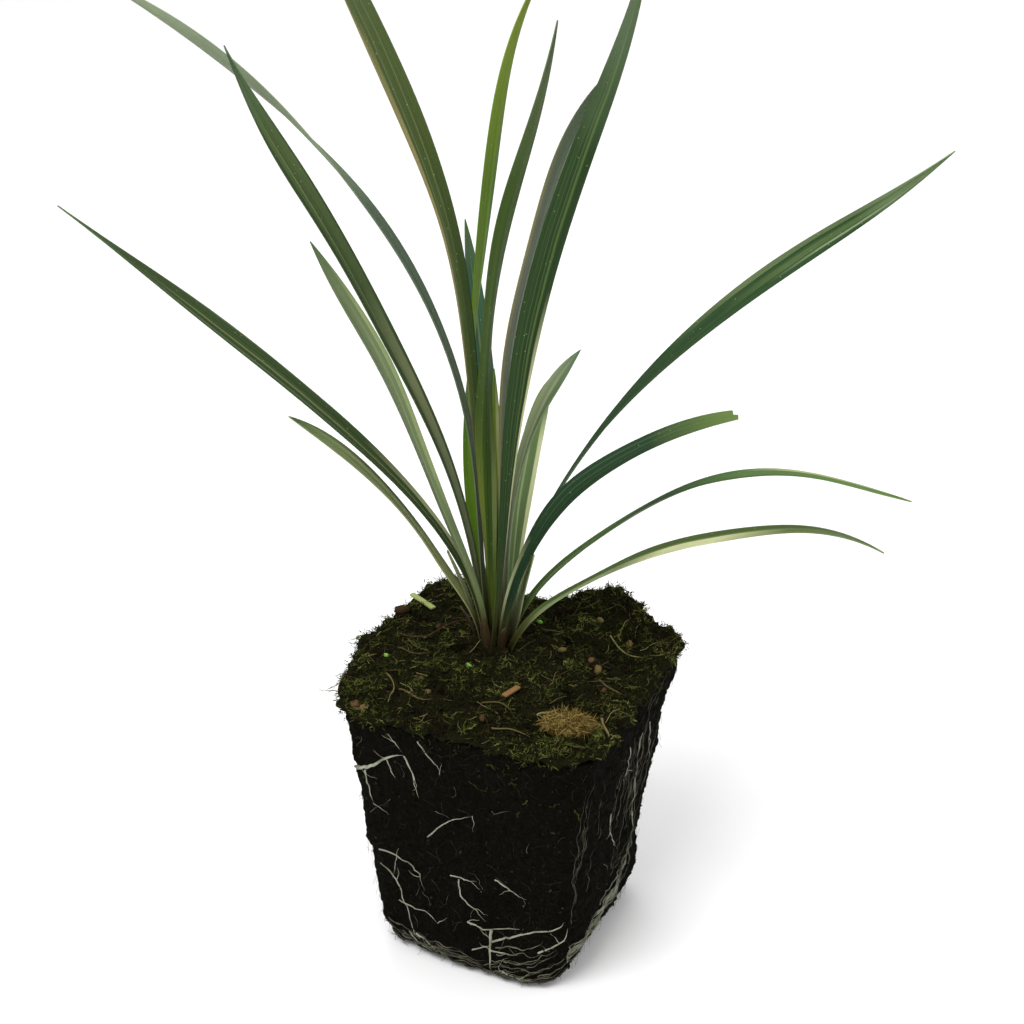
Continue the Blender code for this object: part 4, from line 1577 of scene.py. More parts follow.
@dataclass
class Roots:
    """The white roots on the ball: thick ones by their place, fine ones grown by chance.

    ground is the block's surface. A main root is its side, its radius and its route.
    """

    ground: Ground
    mains: tuple[tuple[Side, float, tuple[tuple[float, float], ...]], ...] = (
        (Side.FRONT, 0.78, ((-39, 70), (-37, 71), (-30, 76), (-24, 80.5), (-19, 82.5))),
        (Side.FRONT, 0.32, ((-19, 82), (-17, 75), (-15, 66))),
        (Side.FRONT, 0.30, ((-34, 72), (-33, 65), (-32, 59))),
        (Side.FRONT, 0.26, ((-26, 79), (-23, 72))),
        (Side.FRONT, 0.22, ((-24, 90), (-22, 87), (-20, 83))),
        (Side.FRONT, 0.27, ((-14, 89), (-12, 85), (-8, 81.5), (-7, 78))),
        (Side.FRONT, 0.28, ((-13, 51), (-8, 57), (-3, 61), (3.5, 64))),
        (Side.FRONT, 0.26, ((-6, 37), (-0.5, 37), (4, 38))),
        (Side.FRONT, 0.26, ((10, 40), (15.5, 37.5), (21, 35))),
        (Side.FRONT, 0.28, ((-31, 41), (-26, 40), (-20, 37), (-17, 33), (-16, 27))),
        (Side.FRONT, 0.26, ((-31.5, 34), (-26, 29), (-23, 21), (-20, 11), (-17, 6))),
        (Side.FRONT, 0.24, ((-25, 21), (-20, 20), (-14, 18), (-11, 16))),
        (Side.FRONT, 0.18, ((-25, 39.5), (-27.5, 29))),
        (Side.FRONT, 0.28, ((-3, 36), (-2, 30), (2.5, 26), (6.5, 22))),
        (Side.FRONT, 0.55, ((8.5, 19), (8.7, 11), (8.5, 3))),
        (Side.FRONT, 0.36, ((0, 20), (7.5, 19), (20, 23))),
        (Side.FRONT, 0.42, ((9, 15), (15, 18), (22, 22), (31, 25.5), (33, 28))),
        (Side.FRONT, 0.30, ((2, 10), (6, 12), (9, 14))),
        (Side.FRONT, 0.30, ((9, 12), (16, 12))),
        (Side.FRONT, 0.32, ((25, 15), (32, 20), (38, 26))),
        (Side.FRONT, 0.30, ((-18.5, 10), (-14, 7), (-10, 2))),
        (Side.FRONT, 0.26, ((-22, 9), (-17, 4), (-12, 6), (-8, 3))),
        (Side.FRONT, 0.28, ((12, 5), (19, 4), (24, 8))),
        (Side.RIGHT, 0.30, ((5, 79), (7, 63), (8, 46), (8, 33))),
        (Side.RIGHT, 0.22, ((14, 78), (18, 66), (21, 56))),
        (Side.RIGHT, 0.28, ((-15, 61), (-15, 55), (-10, 45), (-2, 37))),
        (Side.RIGHT, 0.20, ((-6, 80), (-4, 70), (-5, 62))),
        (Side.LEFT, 0.8, ((-27, 84), (-31, 74), (-30, 60), (-28, 44), (-25, 30), (-20, 18))),
        (Side.LEFT, 0.4, ((-29, 62), (-22, 52), (-13, 44))),
        (Side.LEFT, 0.35, ((-27, 44), (-18, 36), (-8, 33))),
        (Side.LEFT, 0.35, ((-24, 12), (-8, 9), (8, 12), (24, 14))),
        (Side.BACK, 0.4, ((-28, 14), (-12, 10), (6, 12), (22, 20))),
        (Side.BACK, 0.35, ((6, 66), (2, 52), (6, 40), (0, 28))),
        (Side.BACK, 0.3, ((-24, 70), (-14, 66), (-4, 68))),
    )
    bundles: tuple[Bundle, ...] = (
        Bundle(Side.RIGHT, ((-42, 13), (-29, 14), (-11, 15), (6.5, 16), (17, 20)), 4.0, 46, 0.22, 0.74),
        Bundle(Side.RIGHT, ((8, 14), (14, 24), (17, 40)), 5.0, 12, 0.18, 0.62),
        Bundle(Side.RIGHT, ((-6, 36), (4, 60), (10, 84)), 17.0, 34, 0.10, 0.50),
        Bundle(Side.RIGHT, ((-38, 30), (-36, 55), (-34, 82)), 9.0, 16, 0.10, 0.36),
        Bundle(Side.FRONT, ((-34, 9), (-20, 5), (-6, 5), (8, 4)), 5.0, 22, 0.20, 0.40),
        Bundle(Side.FRONT, ((4, 4), (14, 7), (26, 10), (34, 16)), 6.5, 16, 0.20, 0.52),
        Bundle(Side.FRONT, ((-10, 3), (6, 2), (22, 3), (32, 5)), 2.0, 12, 0.26, 0.40),
        Bundle(Side.LEFT, ((-30, 8), (-10, 6), (10, 7), (28, 9)), 5.0, 26, 0.22, 0.60),
        Bundle(Side.BACK, ((-30, 9), (-10, 6), (10, 7), (30, 10)), 5.0, 26, 0.22, 0.60),
    )
    hairs: int = 1
    hair_reach: float = 6.0
    hair_radius: float = 0.13
    fine_per_side: int = 22
    fine_reach: float = 8.0
    fine_tone: float = 0.4
    main_tone: float = 0.92
    stride: float = 1.3
    bundle_steps: int = 16
    waves: float = 9.0
    wobble: float = 1.2
    seed: int = 23
    rng: np.random.Generator = field(init=False)

    @staticmethod
    def strand(
        points: Sequence[Vector], radius: float, rng: np.random.Generator, taper: float = 0.6
    ) -> bpy.types.Object:
        """One root through the points, uneven in thickness.

        Args:
            points: Its middle line.
            radius: Its radius at the start, in metres.
            rng: The source of chance.
            taper: The share of its thickness that it loses towards its end.

        Returns:
            The root as a curve.
        """
        curve = bpy.data.curves.new("strand", "CURVE")
        curve.dimensions = "3D"
        curve.bevel_depth = MM
        curve.bevel_resolution = 1
        curve.use_fill_caps = True
        line = curve.splines.new("POLY")
        line.points.add(len(points) - 1)
        last = len(points) - 1
        for index, (target, point) in enumerate(zip(line.points, points)):
            target.co = (*point, 1.0)
            end = min(1.0, 3.0 * (last - index + 0.4) / last)
            uneven = 0.85 + 0.3 * rng.random()
            target.radius = radius / MM * (1.0 - taper * index / last) * uneven * end
        return Hand.new("strand", curve)

    def main_roots(self) -> list[bpy.types.Object]:
        """The roots whose place is known, each with a few hair roots.

        Returns:
            The strands.
        """
        made = []
        for side, radius, route in self.mains:
            steps = max(8, 5 * (len(route) - 1))
            points = []
            for step in range(steps + 1):
                share = step / steps
                along, height = route_at(route, share)
                along += 0.5 * noise.noise(Vector((along, height, radius)) * 0.4)
                hit, normal = self.ground.on_side(side, along, height)
                points.append(hit + normal * radius * 0.55 * MM)
            made.append(self.strand(points, radius * MM, self.rng))
            for _ in range(self.hairs):
                start = int(self.rng.integers(0, len(route)))
                along, height = route[start]
                heading = self.rng.uniform(-math.pi, math.pi)
                place = (along, height, heading)
                made.append(self.walker(side, place, self.hair_reach, self.hair_radius))
        return made

    def bundled(self, bundle: Bundle) -> list[bpy.types.Object]:
        """Fine roots side by side, each over a part of the bundle's route.

        Args:
            bundle: What to grow.

        Returns:
            The strands.
        """
        made = []
        for _ in range(bundle.count):
            start = self.rng.uniform(0.0, 0.62)
            end = min(1.0, start + self.rng.uniform(0.25, 0.6))
            aside = bundle.spread * Vector((self.rng.normal(0, 0.45), self.rng.normal(0, 0.45)))
            phase = self.rng.uniform(0, 90)
            points = []
            for step in range(self.bundle_steps + 1):
                share = start + (end - start) * step / self.bundle_steps
                along, height = route_at(bundle.route, share)
                wave = share * self.waves
                along += aside.x + self.wobble * noise.noise(Vector((wave, phase, 0.0)))
                height += aside.y + self.wobble * noise.noise(Vector((wave, phase, 7.0)))
                height = within(height, 1.0, 91.0)
                hit, normal = self.ground.on_side(bundle.side, along, height)
                lift = (bundle.radius * 0.6 + 0.1 + 0.5 * self.rng.random() * bundle.tone) * MM
                points.append(hit + normal * lift)
            radius = bundle.radius * self.rng.uniform(0.55, 1.35)
            made.append(self.strand(points, radius * MM, self.rng, 0.5))
        return made

    def walker(
        self, side: Side, place: tuple[float, float, float], reach: float, radius: float,
        drift: float = 0.35,
    ) -> bpy.types.Object:
        """A fine root that wanders over the surface.

        Args:
            side: The side that it starts on.
            place: Where it starts along the side and its height there, in millimetres, and its
                first direction, in radians from the horizontal.
            reach: Its usual length in millimetres.
            radius: Its radius in millimetres.
            drift: How much it turns at each step, in radians.

        Returns:
            The strand.
        """
        length = reach * (0.5 + 1.2 * self.rng.random())
        steps = max(5, int(length / self.stride))
        along, height, heading = place
        points = []
        for _ in range(steps):
            hit, normal = self.ground.on_side(side, along, height)
            points.append(hit + normal * (radius * 0.6 + 0.15) * MM)
            heading += self.rng.normal(0.0, drift)
            along = within(along + self.stride * math.cos(heading), -41.0, 41.0)
            height = within(height + self.stride * math.sin(heading), 1.2, 90.0)
        return self.strand(points, radius * MM, self.rng, 0.7)

    def build(self) -> bpy.types.Object:
        """Grow all roots and join them into one piece.

        Returns:
            The piece.
        """
        self.rng = np.random.default_rng(self.seed)
        grown = [(self.main_roots(), self.main_tone)]
        for bundle in self.bundles:
            grown.append((self.bundled(bundle), bundle.tone))
        fine = []
        for side in Side:
            for _ in range(self.fine_per_side):
                along, height = self.rng.uniform(-36, 36), 4 + 82 * self.rng.random() ** 1.3
                heading = self.rng.uniform(-math.pi, math.pi)
                radius = 0.07 + 0.08 * self.rng.random()
                place = (along, height, heading)
                fine.append(self.walker(side, place, self.fine_reach, radius, 0.4))
        grown.append((fine, self.fine_tone))
        pieces = []
        for strands, base in grown:
            joined = Hand.join(strands, "roots")
            bpy.ops.object.convert(target="MESH")
            Hand.tone(joined, base)
            pieces.append(joined)
        roots = Hand.join(pieces, "white_roots")
        Hand.edit(roots)
        bpy.ops.mesh.remove_doubles(threshold=0.002 * MM)
        bpy.ops.mesh.normals_make_consistent(inside=False)
        Hand.close()
        Hand.finish(roots, "white_roots", 70.0)
        roots.data.materials.clear()
        roots.data.materials.append(SoilFinish.white_root())
        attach(roots, BODY)
        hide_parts(*[f"root_{number:02d}" for number in range(1, 20)])
        return roots


# Top


@dataclass
class MossTop:
    """The mossy top: the bed, its fronds, straws, the dry tuft and what lies about.

    A lump is its place, size and rise in millimetres and its tone. A lying straw is its radius,
    its tone and its route.
    """

    frame: dict[str, Any]
    ball: RootBall
    peat: Ground
    voxel: float = 0.9 * MM
    hummock_size: float = 7 * MM
    hummock_depth: float = 4.2 * MM
    clod_size: float = 3.2 * MM
    clod_depth: float = 2.4 * MM
    smooth_share: float = 0.15
    clumps: int = 2900
    needles: int = 8
    straws: int = 420
    sprig_count: int = 2400
    rim_height: float = 92 * MM
    rim_corner: tuple[float, float] = (30 * MM, -44 * MM)
    top_share: float = 0.68
    rim_share: float = 0.32
    # rim_shade is painted shade: it darkens the sprigs that hang over the ball's sides.
    rim_shade: float = -0.9
    green_share: float = 0.5
    base_tone: float = 0.17
    tuft_fibres: int = 900
    tuft_core_tone: float = 0.3
    smoothings: int = 4
    straw_lift: float = 0.9
    stub_clearance: float = 1.9 * MM
    rounding: float = 0.12 * MM
    lumps: tuple[tuple[float, float, float, float, float], ...] = (
        (-46.5, 13.0, 2.9, 0.5, 0.12), (-37.0, -41.0, 2.0, 0.2, 0.42), (-33.5, -42.5, 1.4, 0.2, 0.5),
        (-10.0, -14.0, 1.0, 0.9, 1.0), (-8.8, -14.8, 0.6, 0.9, 1.0), (0.0, 21.0, 1.1, 0.9, 1.0),
        (-38.0, -17.0, 1.0, 0.9, 0.95), (27.0, 6.0, 2.4, 0.1, 0.6), (23.5, 9.0, 1.6, 0.1, 0.45),
        (33.0, -4.0, 1.7, 0.1, 0.3), (-18.0, -28.0, 1.5, 0.1, 0.6), (-22.0, -24.0, 1.2, 0.1, 0.4),
        (13.0, 9.0, 1.6, 0.3, 0.68), (5.0, -36.0, 1.7, 0.1, 0.2), (30.0, 26.0, 2.0, 0.1, 0.5),
        (-30.0, 6.0, 1.4, 0.1, 0.2), (18.0, 30.0, 1.8, 0.2, 0.62), (16.0, -12.0, 1.3, 0.2, 0.5),
    )
    lying: tuple[tuple[float, float, tuple[tuple[float, float], ...]], ...] = (
        (0.36, 0.40, ((-39, -5), (-32, -3), (-28, 3), (-27, 8), (-22.5, 11), (-16, 9), (-12, 8))),
        (0.42, 0.88, ((20, -27.5), (22, -24), (25, -20))),
        (0.45, 0.80, ((39, -20.5), (42, -25), (46, -29))),
        (0.30, 0.62, ((-27, -30), (-20, -33), (-14, -32))),
        (0.26, 0.75, ((-34, -25), (-29, -29), (-28, -34))),
        (0.30, 0.55, ((2, -30), (8, -27), (12, -29))),
        (0.28, 0.70, ((9, -38), (16, -36), (22, -37))),
        (0.30, 0.60, ((30, 0), (36, -4), (40, -3))),
        (0.26, 0.85, ((24, 24), (31, 20), (37, 21))),
        (0.24, 0.50, ((-36, -12), (-30, -14), (-24, -12))),
    )
    lump_shape: tuple[float, float, float] = (1.0, 0.8, 0.62)
    straw_sways: tuple[tuple[float, ...], ...] = (
        (0.03, 0.07, 0.06, 0.0), (0.12, 0.26, 0.3, 0.22), (-0.04, 0.03, 0.1, 0.06),
    )
    straw_growth: Growth = Growth((2.5, 6.0, 1.8), (0.14, 0.3, 2.0))
    tuft_growth: Growth = Growth((1.8, 3.6, 1.4), (0.2, 0.24, 1.0))
    sprig_bends: tuple[float, ...] = (0.5, -0.9, 1.3)
    sprig_growth: Growth = Growth((1.8, 3.6, 1.4), (0.55, 0.65, 1.0))
    needle_bends: tuple[float, ...] = (0.1, 0.35, -0.15)
    needle_growth: Growth = Growth((0.8, 1.5, 1.3), (0.14, 0.2, 1.0))
    straw_stops: tuple[tuple[float, Colour], ...] = (
        (0.0, (0.010, 0.006, 0.003)),
        (0.4, (0.042, 0.026, 0.012)),
        (0.75, (0.125, 0.098, 0.040)),
        (1.0, (0.24, 0.22, 0.09)),
    )
    stub: tuple[tuple[float, float], tuple[float, float]] = ((-48, 23), (-37, 17))
    seed: int = 37
    crown: tuple[float, float] = (CROWN_X, CROWN_Y)
    collar: tuple[float, float, float] = (14.0 * MM, 14.0 * MM, 7.6 * MM)
    collar_height: float = 96.8 * MM
    rng: np.random.Generator = field(init=False)
    ground: Ground = field(init=False)

    def bed(self) -> bpy.types.Object:
        """The ground of the mat, lumpy.

        Returns:
            The bed.
        """
        bed = Hand.copy_of_node(self.frame, "moss_mat")
        bpy.ops.mesh.primitive_uv_sphere_add(
            segments=32, ring_count=16, radius=1.0, location=(*self.crown, self.collar_height),
            scale=self.collar,
        )
        mound = bpy.context.object
        Hand.take(mound)
        bpy.ops.object.transform_apply(location=True, scale=True)
        bed = Hand.join((bed, mound), "bed")
        Hand.reskin(bed, self.voxel)
        group = bed.vertex_groups.new(name="rough")
        places = np.array([vert.co for vert in bed.data.vertices])
        rough = self.clear_of_stub(places)
        group.add(np.flatnonzero(rough).tolist(), 1.0, "REPLACE")
        group.add(np.flatnonzero(~rough).tolist(), self.smooth_share, "REPLACE")
        self.ball.rough(bed, "hummocks", "CLOUDS", self.hummock_size, self.hummock_depth)
        self.ball.rough(bed, "clods", "VORONOI", self.clod_size, self.clod_depth)
        Hand.finish(bed, "moss_bed", 80.0)
        bed.data.materials.append(SoilFinish.moss_bed())
        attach(bed, BODY)
        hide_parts("moss_mat")
        return bed

    def relief(self, places: np.ndarray) -> np.ndarray:
        """How high the mat's lumps stand at some places.

        Args:
            places: The places, N by 3.

        Returns:
            The heights, in standard deviations from their mean.
        """
        hummocks, clods = (bpy.data.textures[name] for name in ("hummocks", "clods"))
        high = np.array([
            self.hummock_depth * hummocks.evaluate(place)[3] + self.clod_depth * clods.evaluate(place)[3]
            for place in places
        ])
        return (high - high.mean()) / high.std()

    @staticmethod
    def levelled(normals: np.ndarray, share: float = 1.2) -> np.ndarray:
        """Normals turned upwards, so that what lies on the mat bridges its hollows."""
        ways = normals + share * np.array([[0.0, 0.0, 1.0]])
        return ways / np.linalg.norm(ways, axis=1, keepdims=True)

    def clear_of_stub(self, places: np.ndarray) -> np.ndarray:
        """Find the places that aren't under the cut leaf that lies on the moss.

        Args:
            places: The places, N by 3.

        Returns:
            Whether each is clear of it.
        """
        start, end = (np.array(point) * MM for point in self.stub)
        run = end - start
        along = np.clip((places[:, :2] - start) @ run / (run @ run), 0, 1)
        nearest = start + along[:, None] * run
        return np.linalg.norm(places[:, :2] - nearest, axis=1) > self.stub_clearance

    @staticmethod
    def patch(places: np.ndarray) -> np.ndarray:
        """How green the moss is, from 0 to 1, in patches."""
        wide, narrow = 9 * MM, 3 * MM
        return np.array([
            0.5 + 0.5 * noise.noise(Vector(place) / wide) + 0.3 * noise.noise(Vector(place) / narrow)
            for place in places
        ])

    def fronds(self) -> list[bpy.types.Object]:
        """Clumps of fine needles, green in patches and brown between them.

        Returns:
            The joined meshes.
        """
        stops = (
            (0.0, (0.0035, 0.0027, 0.0015)),
            (0.26, (0.014, 0.010, 0.005)),
            (0.42, (0.014, 0.018, 0.005)),
            (0.62, (0.042, 0.050, 0.011)),
            (0.82, (0.105, 0.118, 0.026)),
            (1.0, (0.22, 0.23, 0.07)),
        )

        def top(middles: np.ndarray, normals: np.ndarray) -> np.ndarray:
            """Weight what faces up and the mat's edge."""
            return np.where(normals[:, 2] > 0.1, 1.0, 0.45) * (normals[:, 2] > -0.5)

        made = []
        finish = SoilFinish.toned("moss fronds", stops)
        masters = [Masters.needle(bend) for bend in self.needle_bends]
        for half in range(2):
            litter = Litter(f"moss_fronds_{half + 1}", finish, "moss")
            count = self.clumps // 2
            places, normals = self.ground.spots(count, self.rng, top)
            keep = self.clear_of_stub(places)
            places, normals = places[keep], normals[keep]
            count = len(places)
            green = self.patch(places)
            high = self.relief(places)
            away = np.hypot(places[:, 0] - self.crown[0], places[:, 1] - self.crown[1])
            short = 0.45 + 0.55 * np.clip((away - 5 * MM) / (6 * MM), 0, 1)
            for index in range(self.needles):
                jitter = self.rng.normal(0, 0.5 * MM, places.shape)
                length, thick = self.needle_growth.draw(self.rng, count)
                length = length * (0.7 + 0.5 * green) * short
                rise = self.rng.uniform(-0.1, 0.9, count)
                sizes = np.stack([length, thick * 1.5, thick], axis=1)
                frames = frames_on(normals, self.rng, rise, sizes)
                # The tone is the real green patches plus painted light and shade: lighter on the mat's
                # lumps, darker in its hollows.
                lit = self.green_share * green + self.base_tone + 0.14 * high
                tone = np.clip(lit + self.rng.normal(0, 0.14, count), 0, 1)
                litter.lay(masters[index % len(masters)], places + jitter, frames, tone)
            made.append(litter.build())
        for master in masters:
            bpy.data.objects.remove(master)
        return made

    def sprigs(self) -> bpy.types.Object:
        """Leafy sprigs that lie on the mat, and those that hang over the ball's rim.

        Returns:
            The joined mesh.
        """
        stops = (
            (0.0, (0.006, 0.0045, 0.0025)),
            (0.3, (0.022, 0.018, 0.008)),
            (0.5, (0.036, 0.044, 0.009)),
            (0.75, (0.105, 0.120, 0.022)),
            (1.0, (0.23, 0.235, 0.065)),
        )
        litter = Litter("moss_sprigs", SoilFinish.toned("moss sprigs", stops, 900.0), "moss")

        def rim(middles: np.ndarray, normals: np.ndarray) -> np.ndarray:
            """Weight the upper edge of the sides, further down by the front corner."""
            x, y = self.rim_corner
            corner = np.hypot(middles[:, 0] - x, middles[:, 1] - y)
            depth = 3.0 * MM + 7.0 * MM * np.exp(-((corner / (26 * MM)) ** 2))
            below = np.maximum(0.0, self.rim_height - middles[:, 2])
            return np.exp(-below / depth) * (below < 24 * MM)

        for bend in self.sprig_bends:
            master = Masters.sprig(bend)
            for surface, weight, share in (
                (self.ground, facing_up(0.2), self.top_share), (self.peat, rim, self.rim_share)
            ):
                count = int(self.sprig_count * share / len(self.sprig_bends))
                places, normals = surface.spots(count, self.rng, weight)
                if surface is self.ground:
                    keep = self.clear_of_stub(places)
                    places, ways = places[keep], self.levelled(normals[keep])
                    count = len(places)
                    high = self.relief(places)
                else:
                    ways = RootBall.outwards(places)
                    # Sprigs over the sides take the painted shade of rim_shade in place of the relief.
                    high = np.full(count, self.rim_shade)
                green = self.patch(places)
                length, wide = self.sprig_growth.draw(self.rng, count)
                sizes = np.stack([length, wide, wide], axis=1)
                frames = frames_on(ways, self.rng, self.rng.normal(0.04, 0.14, count), sizes)
                # The tone is the real green patches plus painted light and shade: lighter on lumps,
                # darker in hollows and over the sides.
                lit = self.green_share * green + self.base_tone + 0.15 * high
                tone = np.clip(lit + self.rng.normal(0, 0.16, count), 0, 1)
                lift = ways * self.rng.uniform(0.1, 0.7, (count, 1)) * MM
                litter.lay(master, places + lift, frames, tone)
            bpy.data.objects.remove(master)
        return litter.build()

    def placed_straws(self) -> bpy.types.Object:
        """The curled dead root and the straws whose place is known.

        Returns:
            The joined mesh.
        """
        pieces = []
        for radius, tone, route in self.lying:
            points = []
            steps = 6 * (len(route) - 1)
            for step in range(steps + 1):
                place, _ = self.ground.from_above(*route_at(route, step / steps))
                points.append(place + Vector((0.0, 0.0, (radius + self.straw_lift) * MM)))
            for _ in range(self.smoothings):
                neighbours = zip(points, points[1:], points[2:])
                inner = [(before + point + after) / 3 for before, point, after in neighbours]
                points = [points[0], *inner, points[-1]]
            strand = Hand.take(Roots.strand(points, radius * MM, self.rng, 0.3))
            bpy.ops.object.convert(target="MESH")
            Hand.tone(strand, tone)
            pieces.append(strand)
        made = Hand.join(pieces, "placed_straws")
        Hand.edit(made)
        bpy.ops.mesh.normals_make_consistent(inside=False)
        Hand.close()
        Hand.finish(made, "placed_straws", 70.0)
        made.data.materials.clear()
        made.data.materials.append(SoilFinish.toned("placed straws", self.straw_stops, 600.0))
        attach(made, BODY)
        return made

    def straw(self) -> bpy.types.Object:
        """Dead threads and straws on the moss.

        Returns:
            The joined mesh.
        """
        litter = Litter("moss_straws", SoilFinish.toned("straws", self.straw_stops, 600.0), "dry_moss")
        for sway in self.straw_sways:
            count = self.straws // len(self.straw_sways)
            places, normals = self.ground.spots(count, self.rng, facing_up(0.3))
            length, thick = self.straw_growth.draw(self.rng, count)
            sizes = np.stack([length, length, thick], axis=1)
            ways = self.levelled(normals)
            frames = frames_on(ways, self.rng, self.rng.normal(0.05, 0.12, count), sizes)
            master = Masters.thread(sway)
            RootBall.thin(master, thick.mean() / length.mean())
            lift = ways * self.rng.uniform(0.2, 1.0, (count, 1)) * MM
            litter.lay(master, places + lift, frames, self.rng.random(count) ** 0.9)
            bpy.data.objects.remove(master)
        return litter.build()

    def tuft(self) -> list[bpy.types.Object]:
        """The cushion of dead moss: a core with fibres combed over it.

        Returns:
            The core and its fibres.
        """
        stops = (
            (0.0, (0.05, 0.03, 0.008)),
            (0.5, (0.19, 0.132, 0.034)),
            (1.0, (0.36, 0.27, 0.09)),
        )
        finish = SoilFinish.toned("dry tuft", stops, 700.0)
        core = Hand.copy_of_node(self.frame, "dry_tuft")
        Hand.finish(core, "dry_tuft_core", 80.0)
        Hand.tone(core, self.tuft_core_tone)
        core.data.materials.append(finish)
        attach(core, BODY)
        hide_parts("dry_tuft")
        litter = Litter("dry_tuft_fibres", finish, "dry_moss")
        count = self.tuft_fibres
        places, normals = Ground(core).spots(count, self.rng, facing_up(0.0))
        length, thick = self.tuft_growth.draw(self.rng, count)
        sizes = np.stack([length, thick, thick], axis=1)
        frames = frames_on(normals, self.rng, self.rng.normal(0.12, 0.22, count), sizes)
        master = Masters.needle(-0.12)
        litter.lay(master, places, frames, self.rng.random(count))
        bpy.data.objects.remove(master)
        return [core, litter.build()]

    def oddments(self) -> bpy.types.Object:
        """Lumps of soil and bark and light-green seedlings, each at its place.

        Returns:
            The joined mesh.
        """
        stops = (
            (0.0, display(44, 34, 22)),
            (0.3, display(74, 56, 38)),
            (0.5, display(96, 72, 50)),
            (0.75, display(100, 96, 50)),
            (1.0, display(110, 164, 76)),
        )
        litter = Litter("moss_oddments", SoilFinish.toned("oddments", stops, 500.0), "dry_moss")
        master = Masters.crumb(self.lump_shape)
        for x, y, size, rise, tone in self.lumps:
            place, _ = self.ground.from_above(x, y)
            turn = Matrix.Rotation(x, 3, "Z") @ Matrix.Rotation(0.3 * y, 3, "X")
            frame = np.array(turn.transposed())[None] * size * MM
            centre = np.array(place)[None] + np.array([[0.0, 0.0, rise * size * MM]])
            litter.lay(master, centre, frame, np.array([tone]))
        bpy.data.objects.remove(master)
        return litter.build()

    def chip(
        self, node: str, stops: Sequence[tuple[float, Colour]], tone: float
    ) -> bpy.types.Object:
        """A small solid that keeps its shape and gets rounder edges and its finish.

        Args:
            node: The node that it replaces.
            stops: The ramp of its finish.
            tone: Where it reads the ramp.

        Returns:
            The piece.
        """
        piece = Hand.copy_of_node(self.frame, node)
        round_off = piece.modifiers.new("round", "BEVEL")
        round_off.width = self.rounding
        round_off.segments = 2
        Hand.finish(piece, f"{node}_piece", 40.0)
        Hand.tone(piece, tone)
        piece.data.materials.append(SoilFinish.toned(node, stops, 500.0))
        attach(piece, BODY)
        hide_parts(node)
        return piece

    def stem(self) -> bpy.types.Object:
        """The short stem under the leaves.

        Returns:
            The stem.
        """
        stem = Hand.copy_of_node(self.frame, "stem")
        Hand.finish(stem, "stem_stub", 60.0)
        stem.data.materials.append(SoilFinish.stem())
        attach(stem, BODY)
        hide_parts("stem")
        return stem

    def build(self) -> None:
        """Build everything on the top."""
        self.rng = np.random.default_rng(self.seed)
        self.ground = Ground(self.bed())
        for make in (
            self.fronds, self.sprigs, self.straw, self.placed_straws, self.oddments, self.tuft, self.stem
        ):
            make()
        bark = ((0.0, (0.05, 0.022, 0.010)), (1.0, (0.24, 0.13, 0.055)))
        self.chip("bark_chip", bark, 0.8)
        cut = ((0.0, (0.12, 0.15, 0.04)), (1.0, (0.36, 0.42, 0.16)))
        self.chip("cut_leaf_stub", cut, 0.75)


# Studio


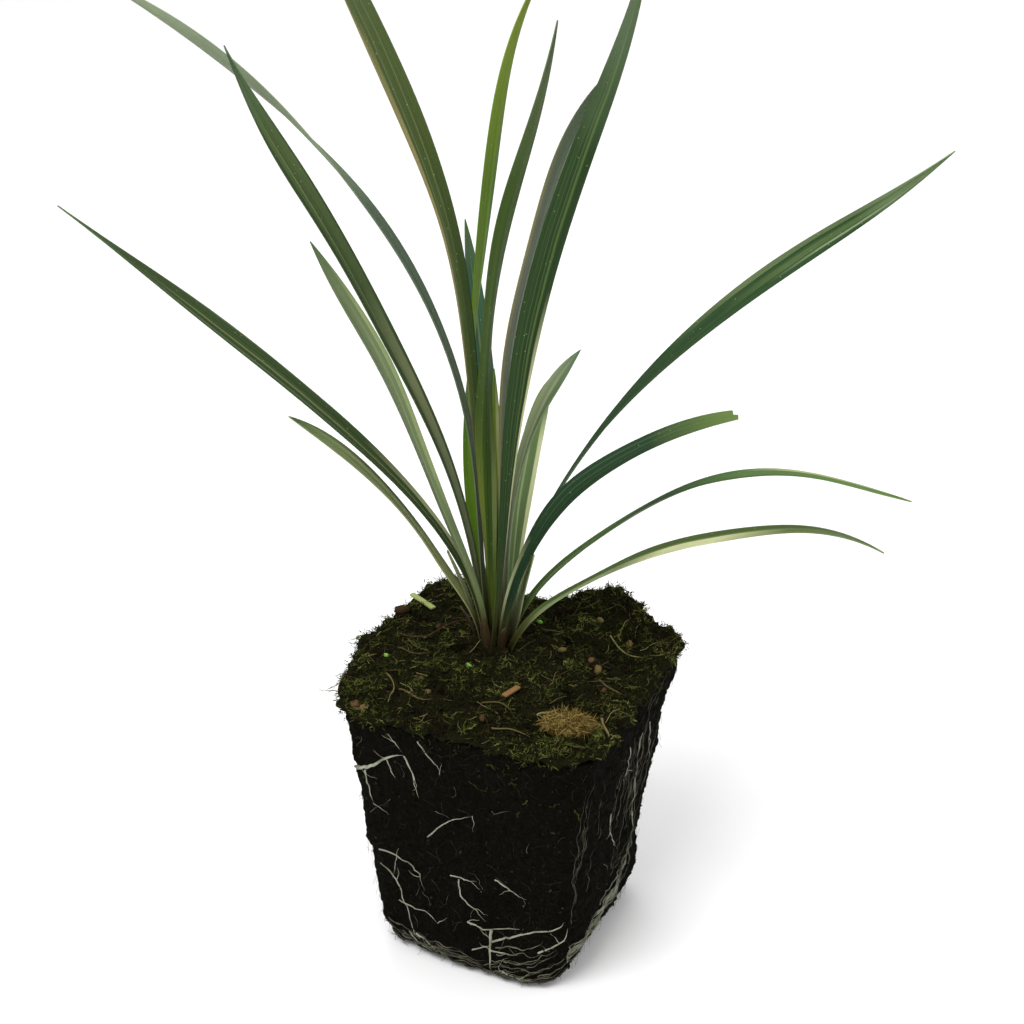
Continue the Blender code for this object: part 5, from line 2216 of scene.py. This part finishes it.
@dataclass
class Studio:
    """The pale floor, the soft lights and the camera."""

    floor_radius: float = 9.0
    floor_rim: float = 1.5
    rim_rise: float = 0.6
    camera_turn: float = 23.8
    camera_height: float = 26.8
    camera_distance: float = 0.781
    target: tuple[float, float, float] = (-0.6 * MM, -0.3 * MM, 152.8 * MM)
    lens: float = 87.05
    sensor: float = 36.0
    sky: float = 0.7
    lamps: tuple[tuple[str, float, float, float, float, float], ...] = (
        ("key", -35, 55, 1.3, 0.7, 13.0),
        ("fill", 60, 35, 1.5, 1.2, 4.0),
        ("back", 175, 50, 1.5, 1.0, 6.0),
    )

    def floor(self) -> bpy.types.Object:
        """A wide round floor whose rim is turned up a little.

        Returns:
            The floor.
        """
        Hand.deselect()
        bpy.ops.mesh.primitive_circle_add(vertices=96, radius=self.floor_radius, fill_type="NGON")
        floor = bpy.context.object
        Hand.edit(floor)
        bpy.ops.mesh.inset(thickness=self.floor_rim)
        Hand.pick(floor, lambda co: co.length > self.floor_radius - 0.1)
        bpy.ops.transform.translate(value=(0.0, 0.0, self.rim_rise))
        Hand.close()
        Hand.finish(floor, "floor", 60.0)
        paint = Paint("floor", 0.9)
        tint = paint.cloud(paint.place(), 0.8, 2.0)
        floor.data.materials.append(
            paint.cover(paint.mix(tint, (0.93, 0.93, 0.93), (0.95, 0.95, 0.95)))
        )
        return floor

    def lamp(
        self, name: str, turn: float, height: float, distance: float, size: float, power: float
    ) -> None:
        """An area light that looks at the plant.

        Args:
            name: Its name.
            height: Its elevation in degrees.
            distance: Its distance in metres.
            size: The side of its square in metres.
            power: Its power in watts.
        """
        data = bpy.data.lights.new(name, "AREA")
        data.size = size
        data.energy = power
        self.aim(Hand.new(name, data), turn, height, distance)

    def aim(self, thing: bpy.types.Object, turn: float, height: float, distance: float) -> None:
        """Place a light or the camera round the target and turn it to it."""
        turn, height = math.radians(turn), math.radians(height)
        away = Vector((
            math.sin(turn) * math.cos(height), -math.cos(turn) * math.cos(height), math.sin(height)
        ))
        thing.location = Vector(self.target) + away * distance
        thing.rotation_euler = away.to_track_quat("Z", "Y").to_euler()

    def build(self) -> None:
        """Set up floor, lights, world and camera."""
        self.floor()
        for name, turn, height, distance, size, power in self.lamps:
            self.lamp(name, self.camera_turn + turn, height, distance, size, power)
        world = bpy.data.worlds.new("studio")
        world.use_nodes = True
        background = world.node_tree.nodes["Background"]
        background.inputs["Color"].default_value = (1.0, 1.0, 1.0, 1.0)
        background.inputs["Strength"].default_value = self.sky
        bpy.context.scene.world = world
        bpy.context.scene.view_settings.view_transform = "Standard"
        data = bpy.data.cameras.new("camera")
        data.lens = self.lens
        data.sensor_width = self.sensor
        data.clip_end = 50.0
        camera = Hand.new("camera", data)
        self.aim(camera, self.camera_turn, self.camera_height, self.camera_distance)
        bpy.context.scene.camera = camera


def main() -> None:
    """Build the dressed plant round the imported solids."""
    logging.basicConfig(level=logging.INFO, format="%(message)s")
    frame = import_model()
    ball = RootBall()
    block = ball.peat(frame)
    ground = Ground(block)
    LOG.info("peat block: %d faces", len(block.data.polygons))
    for piece in ball.scatter(ground):
        LOG.info("%s: %d faces", piece.name, len(piece.data.polygons))
    roots = Roots(ground).build()
    LOG.info("roots: %d faces", len(roots.data.polygons))
    MossTop(frame, ball, ground).build()
    LOG.info("moss top is built")
    leaves = Crown().build()
    LOG.info("leaves: %d", len(leaves))
    Studio().build()


if __name__ == "__main__":
    main()
